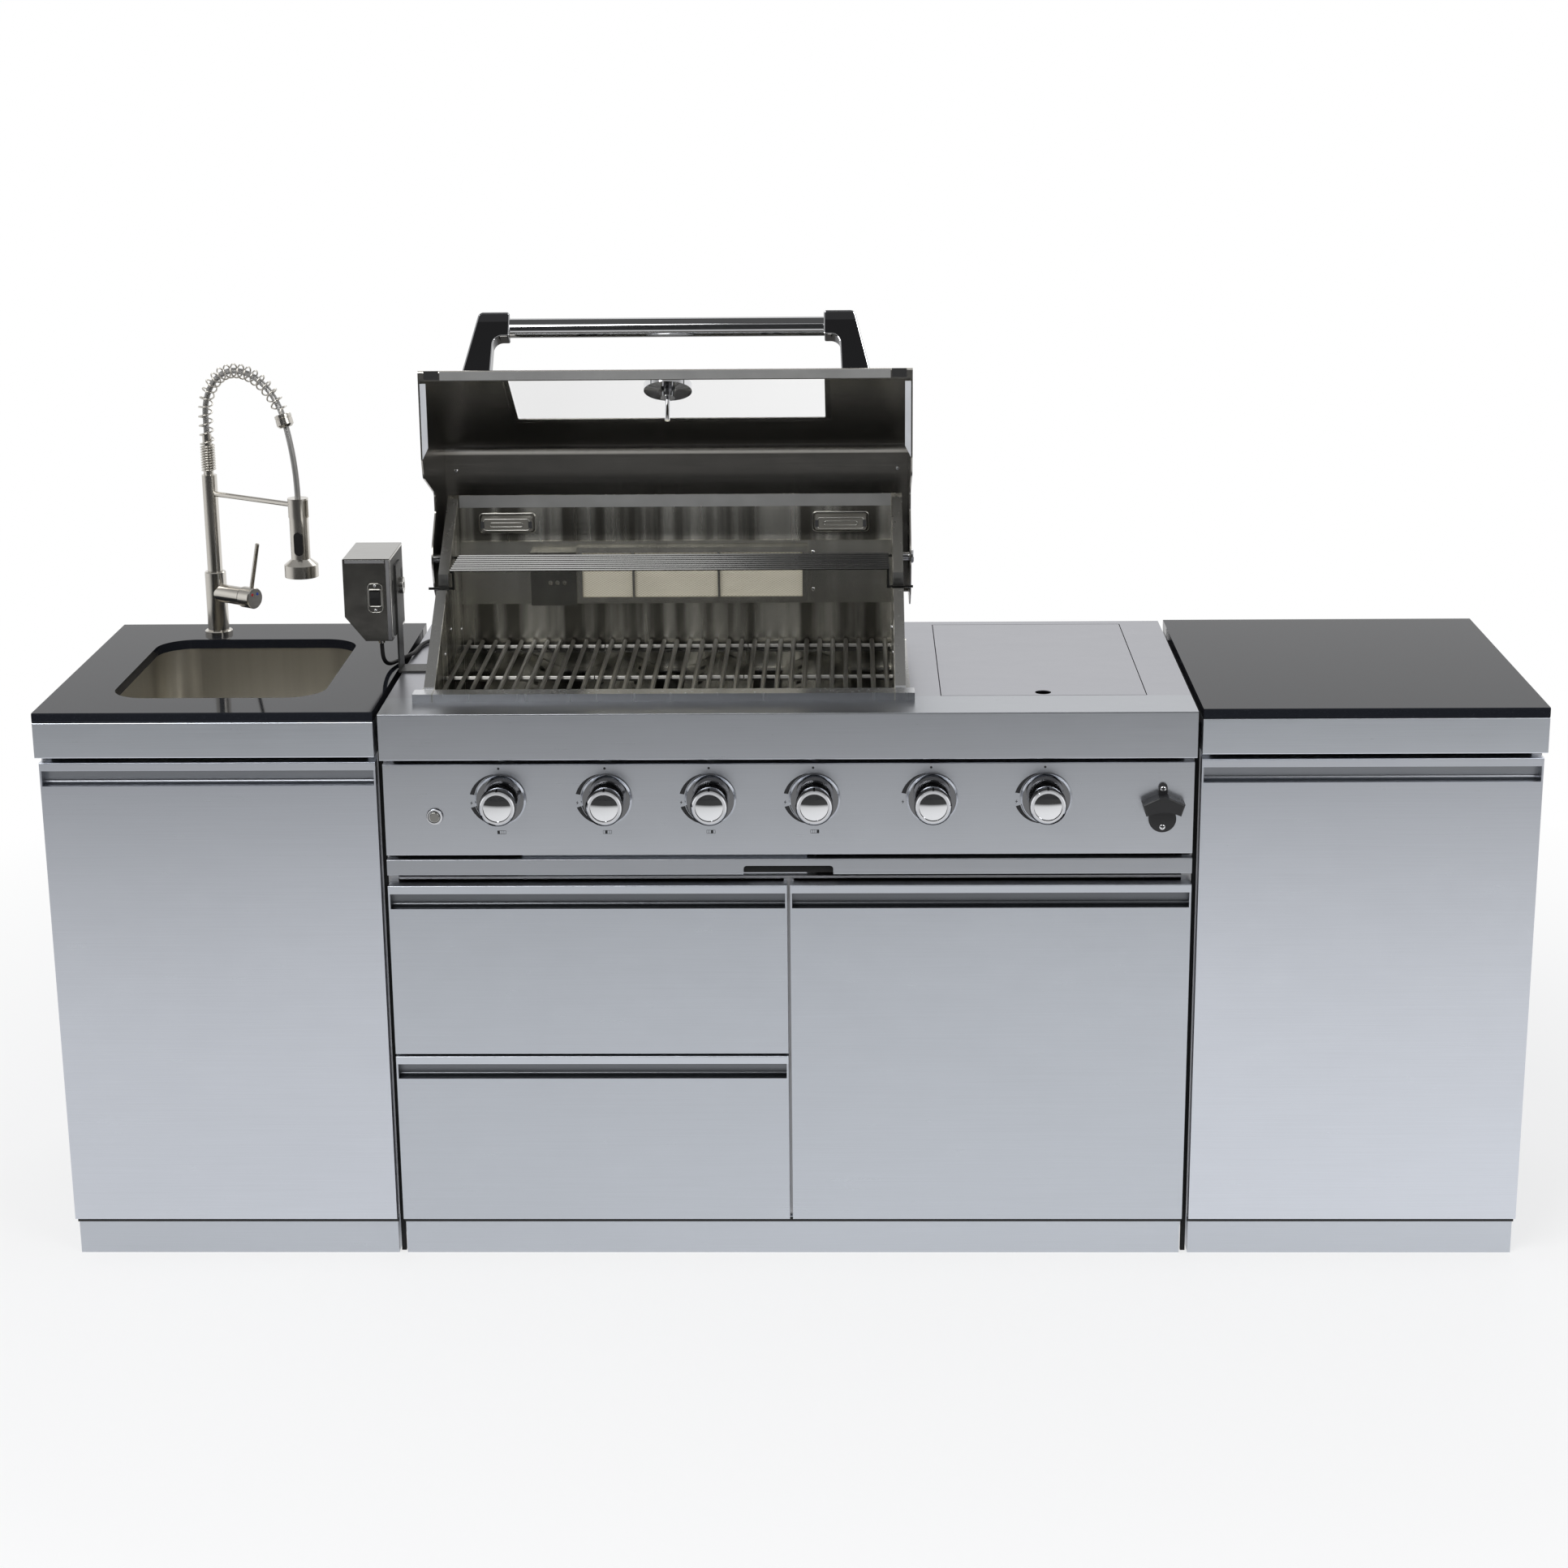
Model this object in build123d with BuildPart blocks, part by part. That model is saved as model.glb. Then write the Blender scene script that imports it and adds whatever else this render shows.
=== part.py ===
from build123d import *
import math
import os

os.makedirs("parts", exist_ok=True)

# Layout of the three modules, in millimetres
side_width = 543.0
module_gap = 8.0
worktop_depth = 636.0
slab = 16.0
deck_height = 942.0
worktop_step = 4.0
deck_depth = 646.0
deck_sheet = 3.0

# Clearances
running = 0.06
free_gap = 0.3
front_reveal = 1.5
seat_gap = 0.5
seam = 0.2

# Sides of a rod or wire section
rod_sides = 6

# Cabinets
plinth_height = 66.0
plinth_setback = 34.0
plinth_wall = 18.0
cab_wall = 16.0
cab_back = 6.0
shelf_height = 420.0
shelf_setback = 60.0
back_inset = 2.0
fascia_height = 58.0

# Doors and drawer fronts with a folded pull along the top edge
front_setback = 16.0
front_thick = 24.0
front_bottom = 68.0
side_pull_top_drop = 82.0
pull_height = 39.0
pull_lip = 13.5
lip_thick = 4.0
pull_wall = 3.0
end_plate = 3.0
edge_round = 1.5
centre_gap = 5.0
upper_pull_top_drop = 290.5
lower_share = 0.497001
drawer_gap = 4.0
drawer_depth = 520.0
drawer_wall = 8.0
drawer_side_height = 180.0
drawer_lift = 24.0
runner_width = 12.0
runner_height = 40.0
runner_inset = 12.0
partition = 16.0
spacer_radius = 12.0
spacer_span_y = 400.0
spacer_span_z = 600.0
heat_shelf_bottom_drop = 286.0
heat_shelf = 4.0

# Grease tray
strip_bottom_drop = 273.0
strip_top_drop = 246.5
strip_setback = 18.0
strip_thick = 16.0
notch_width = 145.0
notch_height = 15.0
tray_width = 460.0
tray_depth = 430.0
tray_height = 34.0
tray_wall = 2.0
tray_lift = 6.0
rail_width = 14.0
rail_height = 30.0

# Control panel
panel_bottom_drop = 240.0
panel_top_drop = 87.5
panel_setback = 20.0
panel_sheet = 2.5
knob_height_rise = 94.0
knob_share = [-0.3333333, -0.1153846, 0.0980769, 0.3115385]
rear_knob = 41.0
bezel_radius = 41.0
bezel_bore = 24.0
bezel_depth = 9.0
knob_radius = 30.0
knob_waist = 26.0
knob_length = 46.0
knob_disc = 22.5
knob_recess = 2.0
knob_rim = 4.0
knob_groove = 6.0
stem_radius = 4.0
stem_grip = 18.0
pipe_radius = 11.0
pipe_setback = 76.0
valve_size = 26.0
button_inset = 82.4
button_drop = 28.0
button_ring = 13.5
button_radius = 8.5
button_depth = 10.0
button_ring_depth = 4.5
button_stand = 3.0
opener_inset = 51.0
opener_drop = 16.0
opener_width = 68.0
opener_plate = 4.0
opener_depth = 26.0

# Front band above the panel
band_bottom_drop = 76.0
band_depth = 107.0
band_sheet = 3.0
band_return = 26.0

# Firebox and hood, in section
fire_inset = 59.0
fire_width = 780.0
fire_wall = 18.0
fire_sheet = 3.0
sill_front = 78.0
sill_top_rise = 13.0
fire_front = 108.0
mouth_front = 115.0
fire_rear = 497.0
fire_top_rise = 260.0
fire_bottom_drop = 207.0
drain_width = 300.0
drain_depth = 150.0
ledge_width = 26.0
flange_width = 8.0
flange_sheet = 3.0
spit_y = 321.0
spit_rise = 141.0
spit_notch = 32.0
spit_floor_rise = 130.0
rack_leg_y = 331.0
pivot_y = 435.0
pivot_rise = 163.0
pivot_radius = 7.0
pivot_head = 12.0
pivot_cap = 5.0
hood_lap = 14.0
hood_sheet = 2.5
lip_y = 92.0
lip_rise = 20.0
lip_flange = 20.0
bend_y = 262.0
hood_top_rise = 291.5
bend_round = 30.0
hood_rear = 520.0
hood_return = 22.0
rear_round = 6.0
lip_round = 4.0
cap_low_y = 243.0
cap_rise_y = 273.0
cap_rise = 10.0
cut_front = 321.0
cut_rear = 353.0
cut_top_rise = 151.0
ear_front_y = 416.0
ear_front_rise = 82.0
ear_rear_y = 484.0
ear_rear_rise = 107.0
window_side = 144.0
window_height = 165.0
window_from_lip = 36.0
window_lap = 9.0
glass = 4.0
gauge_from_lip = 90.0
gauge_radius = 40.0
gauge_depth = 18.0
gauge_stem = 4.0
gauge_reach = 48.0
gauge_neck = 7.0
handle_radius = 16.0
handle_wall = 2.0
handle_end = 75.0
handle_off = 92.0
handle_from_lip = 44.0
bracket_inset = 69.0
bracket_top = 114.0
bracket_thick = 30.0
bracket_slant = 26.0
bracket_foot = 46.0

# Cooking fittings
grate_top_rise = 8.0
grate_front = 120.0
grate_rear = 488.0
grate_bars = 11
grate_sets = 3
bar_radius = 4.0
rod_radius = 5.0
weld = 1.5
grate_gap = 1.0
rod_inset = 12.0
rod_bias = 54.0
tamer_width = 118.0
tamer_rise = 28.0
tamer_sheet = 2.0
tamer_top_drop = 17.0
tamer_inset = 4.0
tamer_slot = 26.0
tamer_slot_width = 8.0
tamer_slots = 6
burner_height_drop = 90.0
burner_radius = 13.0
burner_mouth = 19.0
burner_front = 94.0
burner_jet = 9.0
burner_throat = 20.0
riser_setback = 60.0
riser_radius = 7.0
pipe_end = 60.0
rack_height_rise = 168.0
rack_wires = 8
rack_front = 306.0
rack_rear = 430.0
wire_radius = 2.2
rack_inset = 8.0
rack_tip = 16.0
plate_bottom_rise = 70.0
plate_top_rise = 180.0
plate_thick = 4.0
rear_box_width = 79.0
rear_box_depth = 24.0
rear_frame_right = 228.0
rear_frame_left = -170.0
rear_frame_bottom_rise = 75.0
rear_frame_top_rise = 171.0
rear_frame_depth = 14.0
rear_frame_border = 9.0
strap_width = 4.0
tile_thick = 9.0
lamp_offset = [-289.0, 285.0]
lamp_rise = 212.0
lamp_width = 91.0
lamp_height = 29.0
lamp_depth = 18.0
lamp_corner = 5.0

# Side burner under its flush lid
lid_space = 57.5
lid_width = 329.5
lid_margin = 72.0
lid_front = 110.0
lid_rear = 621.0
lid_thick = 20.0
lid_gap = 1.5
lid_hole = 13.0
lid_hole_from_front = 19.0
well_depth = 92.0
well_sheet = 2.0
well_ledge = 10.0
well_lap = 6.0
ring_radius = 62.0
ring_rise = 22.0
support_length = 70.0
support_width = 6.0

# Rotisserie motor
motor_width = 78.0
motor_off = 51.0
motor_front = 235.0
motor_depth = 140.0
motor_bottom_rise = 65.0
motor_top_rise = 203.0
motor_cut_width = 33.0
motor_cut_height = 41.0
foot_depth = 50.0
foot_front = 280.0
foot_sheet = 3.0
foot_gap = 2.0
leg_top_rise = 183.0
switch_inset = 26.0
switch_rise = 138.0
switch_width = 16.0
switch_height = 22.0
switch_depth = 5.0
switch_proud = 3.0
switch_pocket = 9.0
switch_plate_width = 25.0
switch_plate_height = 50.0
switch_plate = 2.0
socket_radius = 14.0
socket_bore = 5.0
socket_reach = 9.0

# Sink and tap
sink_side = 98.0
sink_front = 97.0
sink_rear = 514.0
sink_corner = 62.0
bowl_depth = 175.0
bowl_sheet = 1.5
bowl_reveal = 5.0
bowl_flange = 16.0
bowl_round = 24.0
waste_radius = 45.0
waste_pipe = 20.0
waste_drop = 90.0
tap_inset = 185.0
tap_y = 565.0
tap_turn = -34.5
tap_flange = 24.0
tap_flange_height = 7.0
tap_shank = 14.0
tap_shank_drop = 56.0
tap_body_radius = 18.5
tap_body_top_rise = 112.0
tap_column_radius = 13.0
tap_column_top_rise = 283.0
tap_pin = 8.0
tap_pin_length = 22.0
boss_rise = 74.0
boss_radius = 16.0
boss_reach = 68.0
cap_length = 27.0
cap_radius = 18.5
lever_pin = 5.0
lever_pin_length = 14.0
lever_radius = 3.8
lever_foot = 18.0
lever_rise = 90.0
lever_lean = 23.0
arm_rise = 250.0
arm_radius = 4.5
dock_radius = 17.5
dock_height = 30.0
dock_mouth = 14.0
arch_start_rise = 387.0
shoulder_radius = 83.0
crown_radius = 114.0
crown_angle = 71.0
fall_radius = 400.0
hose_radius = 5.0
guide_radius = 8.0
guide_top_rise = 354.0
spring_wire = 1.5
spring_radius = 11.4
spring_bend = 5.0
tight_turns = 10
tight_pitch = 4.5
open_turns = 19
collar_radius = 14.5
collar_height = 22.0
spray_neck = 13.0
spray_radius = 16.4
spray_shoulder_rise = 158.0
nozzle_radius = 29.0
nozzle_top_rise = 148.0
nozzle_bottom_rise = 127.0
spray_nut = 10.0
spray_lip = 3.0
toggle_height = 40.0
toggle_width = 15.0
toggle_rise = 186.0
toggle_thick = 6.0
toggle_proud = 2.0
toggle_swing = 4.0

# Motor cord, its put-away coil and its plug
cord_radius = 3.5
cord_lift = 0.4
coil_off = 134.0
coil_y = 574.0
coil_inner = 29.0
coil_step = 8.6
coil_layer = 8.4
coil_turns = 3
coil_tail = 48.0
gland_radius = 7.0
gland_length = 9.0
gland_inset = 23.0
gland_y = 262.0
plug_length = 34.0
plug_width = 28.0
pin_radius = 2.4
pin_length = 19.0
pin_pitch = 19.0

# Values that follow from the sizes above
worktop_height = deck_height + worktop_step
side_pull_top = deck_height - side_pull_top_drop
upper_pull_top = deck_height - upper_pull_top_drop
heat_shelf_bottom = deck_height - heat_shelf_bottom_drop
strip_bottom = deck_height - strip_bottom_drop
strip_top = deck_height - strip_top_drop
panel_bottom = deck_height - panel_bottom_drop
panel_top = deck_height - panel_top_drop
band_bottom = deck_height - band_bottom_drop
sill_top = deck_height + sill_top_rise
fire_top = deck_height + fire_top_rise
fire_bottom = deck_height - fire_bottom_drop
spit_z = deck_height + spit_rise
spit_floor = deck_height + spit_floor_rise
pivot_z = deck_height + pivot_rise
lip_z = deck_height + lip_rise
hood_top = deck_height + hood_top_rise
cut_top = deck_height + cut_top_rise
ear_front_z = deck_height + ear_front_rise
ear_rear_z = deck_height + ear_rear_rise
grate_top = deck_height + grate_top_rise
tamer_top = deck_height - tamer_top_drop
burner_height = deck_height - burner_height_drop
rack_height = deck_height + rack_height_rise
plate_bottom = deck_height + plate_bottom_rise
plate_top = deck_height + plate_top_rise
rear_frame_bottom = deck_height + rear_frame_bottom_rise
rear_frame_top = deck_height + rear_frame_top_rise
lamp_z = deck_height + lamp_rise
motor_bottom = deck_height + motor_bottom_rise
motor_top = deck_height + motor_top_rise
leg_top = deck_height + leg_top_rise
switch_z = deck_height + switch_rise
knob_height = panel_bottom + knob_height_rise
button_z = knob_height - button_drop
opener_z = knob_height - opener_drop
tap_body_top = worktop_height + tap_body_top_rise
tap_column_top = worktop_height + tap_column_top_rise
boss_z = worktop_height + boss_rise
arm_z = worktop_height + arm_rise
arch_start = worktop_height + arch_start_rise
guide_top = worktop_height + guide_top_rise
spray_shoulder = worktop_height + spray_shoulder_rise
nozzle_top = worktop_height + nozzle_top_rise
nozzle_bottom = worktop_height + nozzle_bottom_rise
toggle_z = worktop_height + toggle_rise
lower_pull_top = front_bottom + lower_share * (upper_pull_top - front_bottom)
knob_reach = bezel_depth + knob_length - panel_setback
front = -(deck_depth - knob_reach) / 2
grill_width = fire_inset + fire_width + lid_space + lid_width + lid_margin
total_width = 2 * side_width + 2 * module_gap + grill_width
left_0 = -total_width / 2
left_1 = left_0 + side_width
right_1 = total_width / 2
right_0 = right_1 - side_width
grill_0 = -grill_width / 2
grill_1 = grill_width / 2
slab_under = worktop_height - slab
front_face = front + front_setback
carcass_front = front_face + front_thick + seat_gap
fire_0 = grill_0 + fire_inset
fire_1 = fire_0 + fire_width
fire_x = (fire_0 + fire_1) / 2
hood_width = fire_width + 2 * hood_lap
hood_0 = fire_0 - hood_lap
hood_1 = fire_1 + hood_lap
sill_width = hood_width
window_width = hood_width - 2 * window_side
bracket_span = hood_width - 2 * bracket_inset
handle_length = bracket_span - 2 * handle_end
lid_left = fire_1 + lid_space
lid_right = lid_left + lid_width
knob_x = [fire_x + share * fire_width for share in knob_share]
knob_x += [fire_1 + rear_knob, (lid_left + lid_right) / 2]
button_x = grill_0 + button_inset
opener_x = grill_1 - opener_inset
lamp_x = [fire_x + off for off in lamp_offset]
frame_right = fire_x + rear_frame_right
frame_left = fire_x + rear_frame_left
motor_right = hood_0 - motor_off
motor_left = motor_right - motor_width
foot_right = hood_0 - foot_gap
switch_x = motor_right - switch_inset
gland_x = motor_right - gland_inset
coil_x = hood_0 + coil_off
sink_left = left_0 + sink_side
sink_right = left_1 - sink_side
tap_x = left_0 + tap_inset
deck_under = deck_height - deck_sheet
cab_front = carcass_front - front
cab_rear = worktop_depth - back_inset


def save(piece, name):
    piece.part.label = name
    export_step(piece.part, "parts/" + name + ".step")
    return piece


def block(x0, x1, y0, y1, z0, z1, mode=Mode.ADD):
    # A straight panel between two corners, y measured from the front plane
    with BuildSketch(Plane.XY.offset(z0)) as outline:
        with Locations(((x0 + x1) / 2, front + (y0 + y1) / 2)):
            Rectangle(x1 - x0, y1 - y0)
    extrude(outline.sketch, amount=z1 - z0, mode=mode)


def pull_front(x0, x1, z0, z1):
    # A folded front whose top edge is a hooked finger pull between end plates
    face_top = z1 - pull_height
    inner = front_thick - pull_wall
    with BuildPart() as leaf:
        with BuildSketch(Plane.YZ.offset(x0)) as outer:
            with Locations((front_face + front_thick / 2, (z0 + z1) / 2)):
                Rectangle(front_thick, z1 - z0)
            fillet(outer.vertices().group_by(Axis.X)[0], edge_round)
        extrude(amount=x1 - x0)
        with BuildSketch(Plane.YZ.offset(x0 + end_plate)) as cove:
            with BuildLine():
                Polyline(
                    (front_face - 1, face_top),
                    (front_face + inner, face_top),
                    (front_face + inner, z1 - pull_wall),
                    (front_face + lip_thick, z1 - pull_wall),
                    (front_face + lip_thick, z1 - pull_lip),
                    (front_face - 1, z1 - pull_lip),
                    close=True,
                )
            make_face()
            back = cove.vertices().group_by(Axis.X)[-1]
            fillet(back, inner / 2 - lip_thick)
        extrude(amount=x1 - x0 - 2 * end_plate, mode=Mode.SUBTRACT)
    return leaf


def open_box(x0, x1, y0, y1, z0, z1, wall):
    # A tray with four walls and a floor, open upwards
    with BuildPart() as tray:
        block(x0, x1, y0, y1, z0, z1)
        offset(amount=-wall, openings=tray.faces().sort_by(Axis.Z)[-1])
    return tray


def side_carcass(x0, x1, shelf):
    # Two side panels, floor and back, each a separate folded panel
    with BuildPart() as carcass:
        inner_0 = x0 + cab_wall
        inner_1 = x1 - cab_wall
        floor_top = plinth_height + cab_wall
        back_face = cab_rear - cab_back
        block(x0, inner_0, cab_front, cab_rear, plinth_height, slab_under)
        block(inner_1, x1, cab_front, cab_rear, plinth_height, slab_under)
        block(inner_0 + seam, inner_1 - seam, cab_front, cab_rear, plinth_height, floor_top)
        block(inner_0 + seam, inner_1 - seam, back_face, cab_rear, floor_top + seam, slab_under)
        if shelf:
            shelf_front = cab_front + shelf_setback
            shelf_rear = back_face - seam
            shelf_top = shelf_height + heat_shelf
            block(inner_0 + seam, inner_1 - seam, shelf_front, shelf_rear, shelf_height, shelf_top)
    return carcass


# Cabinets
sink_cabinet = save(side_carcass(left_0, left_1, False), "sink_cabinet")
side_cabinet = save(side_carcass(right_0, right_1, True), "side_cabinet")

drawer_0 = grill_0 + cab_wall + runner_width + free_gap
drawer_1 = -partition / 2 - runner_width - free_gap
upper_face_bottom = lower_pull_top + drawer_gap
upper_box_bottom = upper_face_bottom + drawer_lift
lower_box_bottom = front_bottom + drawer_lift
tray_0 = fire_x - tray_width / 2
tray_1 = fire_x + tray_width / 2
shelf_top = heat_shelf_bottom + heat_shelf
tray_bottom = shelf_top + tray_lift + free_gap

with BuildPart() as grill_cabinet:
    inner_0 = grill_0 + cab_wall
    inner_1 = grill_1 - cab_wall
    floor_top = plinth_height + cab_wall
    back_face = cab_rear - cab_back
    runner_rear = cab_front + drawer_depth - runner_inset
    block(grill_0, inner_0, cab_front, cab_rear, plinth_height, deck_under)
    block(inner_1, grill_1, cab_front, cab_rear, plinth_height, deck_under)
    block(inner_0 + seam, inner_1 - seam, cab_front, cab_rear, plinth_height, floor_top)
    block(inner_0 + seam, inner_1 - seam, back_face, cab_rear, floor_top + seam, deck_under)
    block(inner_0 + seam, inner_1 - seam, cab_front, back_face - seam, heat_shelf_bottom, shelf_top)
    half = partition / 2
    block(-half, half, cab_front, back_face - seam, floor_top + seam, heat_shelf_bottom - seam)
    for box_bottom in (upper_box_bottom, lower_box_bottom):
        low = box_bottom + (drawer_side_height - runner_height) / 2
        high = low + runner_height
        block(inner_0 + seam, drawer_0 - free_gap, cab_front + runner_inset, runner_rear, low, high)
        block(drawer_1 + free_gap, -half - seam, cab_front + runner_inset, runner_rear, low, high)
    rail_0 = cab_front + runner_inset
    rail_1 = cab_front + tray_depth
    for side in (tray_0 - rail_width, tray_1):
        block(side, side + rail_width, rail_0, rail_1, shelf_top + seam, shelf_top + rail_height)
    for skid in (rail_0, rail_1 - rail_width):
        block(tray_0 + seam, tray_1 - seam, skid, skid + rail_width, shelf_top + seam, shelf_top + tray_lift)
    for x, way in ((grill_0, -1), (grill_1, 1)):
        with BuildSketch(Plane.YZ.offset(x)):
            with Locations((front + cab_rear / 2, (plinth_height + deck_under) / 2)):
                with GridLocations(spacer_span_y, spacer_span_z, 2, 2):
                    Circle(spacer_radius)
        extrude(amount=way * module_gap)
save(grill_cabinet, "grill_cabinet")

with BuildPart() as plinths:
    for x0, x1 in ((left_0, left_1), (grill_0, grill_1), (right_0, right_1)):
        with BuildSketch() as frame_outline:
            centre = ((x0 + x1) / 2, front + (plinth_setback + cab_rear) / 2)
            with Locations(centre):
                Rectangle(x1 - x0 - 6, cab_rear - plinth_setback)
                Rectangle(
                    x1 - x0 - 6 - 2 * plinth_wall,
                    cab_rear - plinth_setback - 2 * plinth_wall,
                    mode=Mode.SUBTRACT,
                )
        extrude(amount=plinth_height)
save(plinths, "plinths")

with BuildPart() as worktop_fascias:
    for x0, x1 in ((left_0, left_1), (right_0, right_1)):
        with BuildSketch(Plane.YZ.offset(x0)) as section:
            with Locations((front + cab_front / 2, slab_under - fascia_height / 2)):
                Rectangle(cab_front, fascia_height)
            fillet(section.vertices().group_by(Axis.X)[0], edge_round)
        extrude(amount=x1 - x0)
save(worktop_fascias, "worktop_fascias")

# Stone worktops
sink_centre = ((sink_left + sink_right) / 2, front + (sink_front + sink_rear) / 2)
sink_size = (sink_right - sink_left, sink_rear - sink_front)

with BuildPart() as sink_worktop:
    block(left_0, left_1, 0, worktop_depth, slab_under, worktop_height)
    chamfer(sink_worktop.edges().filter_by(Axis.X).group_by(Axis.Y)[0], 2)
    with BuildSketch(Plane.XY.offset(slab_under)) as cut_out:
        with Locations(sink_centre):
            RectangleRounded(sink_size[0], sink_size[1], sink_corner)
        with Locations((tap_x, front + tap_y)):
            Circle(tap_body_radius - 3)
    extrude(amount=slab, mode=Mode.SUBTRACT)
save(sink_worktop, "sink_worktop")

with BuildPart() as side_worktop:
    block(right_0, right_1, 0, worktop_depth, slab_under, worktop_height)
    chamfer(side_worktop.edges().filter_by(Axis.X).group_by(Axis.Y)[0], 2)
save(side_worktop, "side_worktop")

# Undermount sink bowl and its waste
bowl_in = (sink_size[0] + 2 * bowl_reveal, sink_size[1] + 2 * bowl_reveal)
bowl_bottom = slab_under - bowl_depth
bowl_corner = sink_corner + bowl_reveal

with BuildPart() as sink_bowl:
    with BuildSketch(Plane.XY.offset(bowl_bottom)) as basin:
        with Locations(sink_centre):
            RectangleRounded(
                bowl_in[0] + 2 * bowl_sheet,
                bowl_in[1] + 2 * bowl_sheet,
                bowl_corner + bowl_sheet,
            )
    extrude(amount=bowl_depth)
    fillet(sink_bowl.edges().group_by(Axis.Z)[0], bowl_round + bowl_sheet)
    offset(amount=-bowl_sheet, openings=sink_bowl.faces().sort_by(Axis.Z)[-1])
    with BuildSketch(Plane.XY.offset(slab_under)) as rim:
        with Locations(sink_centre):
            RectangleRounded(
                bowl_in[0] + 2 * bowl_flange,
                bowl_in[1] + 2 * bowl_flange,
                bowl_corner + bowl_flange,
            )
            RectangleRounded(bowl_in[0], bowl_in[1], bowl_corner, mode=Mode.SUBTRACT)
    extrude(amount=-bowl_sheet)
    with Locations((sink_centre[0], sink_centre[1], bowl_bottom)):
        Cylinder(waste_radius - 6, 4 * bowl_sheet, mode=Mode.SUBTRACT)
save(sink_bowl, "sink_bowl")

with BuildPart() as sink_waste:
    with BuildSketch(Plane.XZ) as half:
        top = bowl_sheet
        with BuildLine():
            Polyline(
                (4, -3),
                (waste_radius - 14, -3),
                (waste_radius - 8, top),
                (waste_radius, top),
                (waste_radius, top + 1.5),
                (waste_radius - 10, top + 1.5),
                (waste_radius - 16, 0),
                (4, 0),
                close=True,
            )
        make_face()
        with Locations((waste_pipe - 1.5, -waste_drop / 2 - 3)):
            Rectangle(3, waste_drop)
    revolve(axis=Axis.Z)
sink_waste.part.position = (sink_centre[0], sink_centre[1], bowl_bottom)
save(sink_waste, "sink_waste")

# Grill deck with its two cut-outs
with BuildPart() as grill_deck:
    block(grill_0, grill_1, band_depth, deck_depth, deck_under, deck_height)
    with BuildSketch(Plane.XY.offset(deck_under)) as openings:
        fire_mid = (fire_front + fire_rear + fire_sheet) / 2
        with Locations((fire_x, front + fire_mid)):
            Rectangle(fire_width + 2, fire_rear + fire_sheet - fire_front + 2)
        with Locations(((lid_left + lid_right) / 2, front + (lid_front + lid_rear) / 2)):
            Rectangle(lid_right - lid_left + 2 * lid_gap, lid_rear - lid_front + 2 * lid_gap)
    extrude(amount=deck_sheet, mode=Mode.SUBTRACT)
    block(grill_0, grill_1, deck_depth - deck_sheet, deck_depth, band_bottom, deck_under)
save(grill_deck, "grill_deck")

with BuildPart() as front_band:
    with BuildSketch(Plane.YZ.offset(grill_0)) as section:
        with BuildLine():
            Polyline(
                (front, band_bottom),
                (front, deck_height),
                (front + band_depth, deck_height),
                (front + band_depth, deck_under),
                (front + band_sheet, deck_under),
                (front + band_sheet, band_bottom + band_sheet),
                (front + band_return, band_bottom + band_sheet),
                (front + band_return, band_bottom),
                close=True,
            )
        make_face()
        fillet(section.vertices().group_by(Axis.X)[0], edge_round)
    extrude(amount=grill_width)
save(front_band, "front_band")

# Control panel with shaft holes and the button hole
panel_face = front + panel_setback
panel_depth = cab_front - panel_setback

with BuildPart() as control_panel:
    with BuildSketch(Plane.YZ.offset(grill_0 + front_reveal)) as section:
        with BuildLine():
            Polyline(
                (panel_face, panel_bottom),
                (panel_face, panel_top),
                (panel_face + panel_depth, panel_top),
                (panel_face + panel_depth, panel_top - panel_sheet),
                (panel_face + panel_sheet, panel_top - panel_sheet),
                (panel_face + panel_sheet, panel_bottom + panel_sheet),
                (panel_face + panel_depth, panel_bottom + panel_sheet),
                (panel_face + panel_depth, panel_bottom),
                close=True,
            )
        make_face()
        fillet(section.vertices().group_by(Axis.X)[0], edge_round)
    extrude(amount=grill_width - 2 * front_reveal)
    with BuildSketch(Plane.XZ.offset(-panel_face)) as holes:
        with Locations(*[(x, knob_height) for x in knob_x]):
            Circle(stem_radius + 2)
        with Locations((button_x, button_z)):
            Circle(button_radius + free_gap)
    extrude(amount=-panel_sheet, mode=Mode.SUBTRACT)
save(control_panel, "control_panel")

with BuildPart() as knob_bezels:
    rings = [(x, knob_height, bezel_radius, bezel_bore, bezel_depth) for x in knob_x]
    rings.append((button_x, button_z, button_ring, button_radius + free_gap, button_ring_depth))
    for x, z, outer, bore, depth in rings:
        with BuildSketch(Plane((x, panel_face, z))):
            with BuildLine():
                Polyline(
                    (bore, 0),
                    (outer, 0),
                    (outer, -depth * 0.45),
                    (outer * 0.93, -depth),
                    (bore, -depth),
                    close=True,
                )
            make_face()
        revolve(axis=Axis((x, panel_face, z), (0, 1, 0)))
save(knob_bezels, "knob_bezels")

# Doors, drawers and the grease tray
left_edges = (left_0 + front_reveal, left_1 - front_reveal)
right_edges = (right_0 + front_reveal, right_1 - front_reveal)
sink_door = save(pull_front(*left_edges, front_bottom, side_pull_top), "sink_door")
side_door = save(pull_front(*right_edges, front_bottom, side_pull_top), "side_door")
gas_door = save(pull_front(centre_gap / 2, grill_1 - front_reveal, front_bottom, upper_pull_top), "gas_door")
drawer_left = grill_0 + front_reveal
drawer_right = -centre_gap / 2
drawer_upper_front = pull_front(drawer_left, drawer_right, upper_face_bottom, upper_pull_top)
save(drawer_upper_front, "drawer_upper_front")
drawer_lower_front = pull_front(drawer_left, drawer_right, front_bottom, lower_pull_top)
save(drawer_lower_front, "drawer_lower_front")

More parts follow.
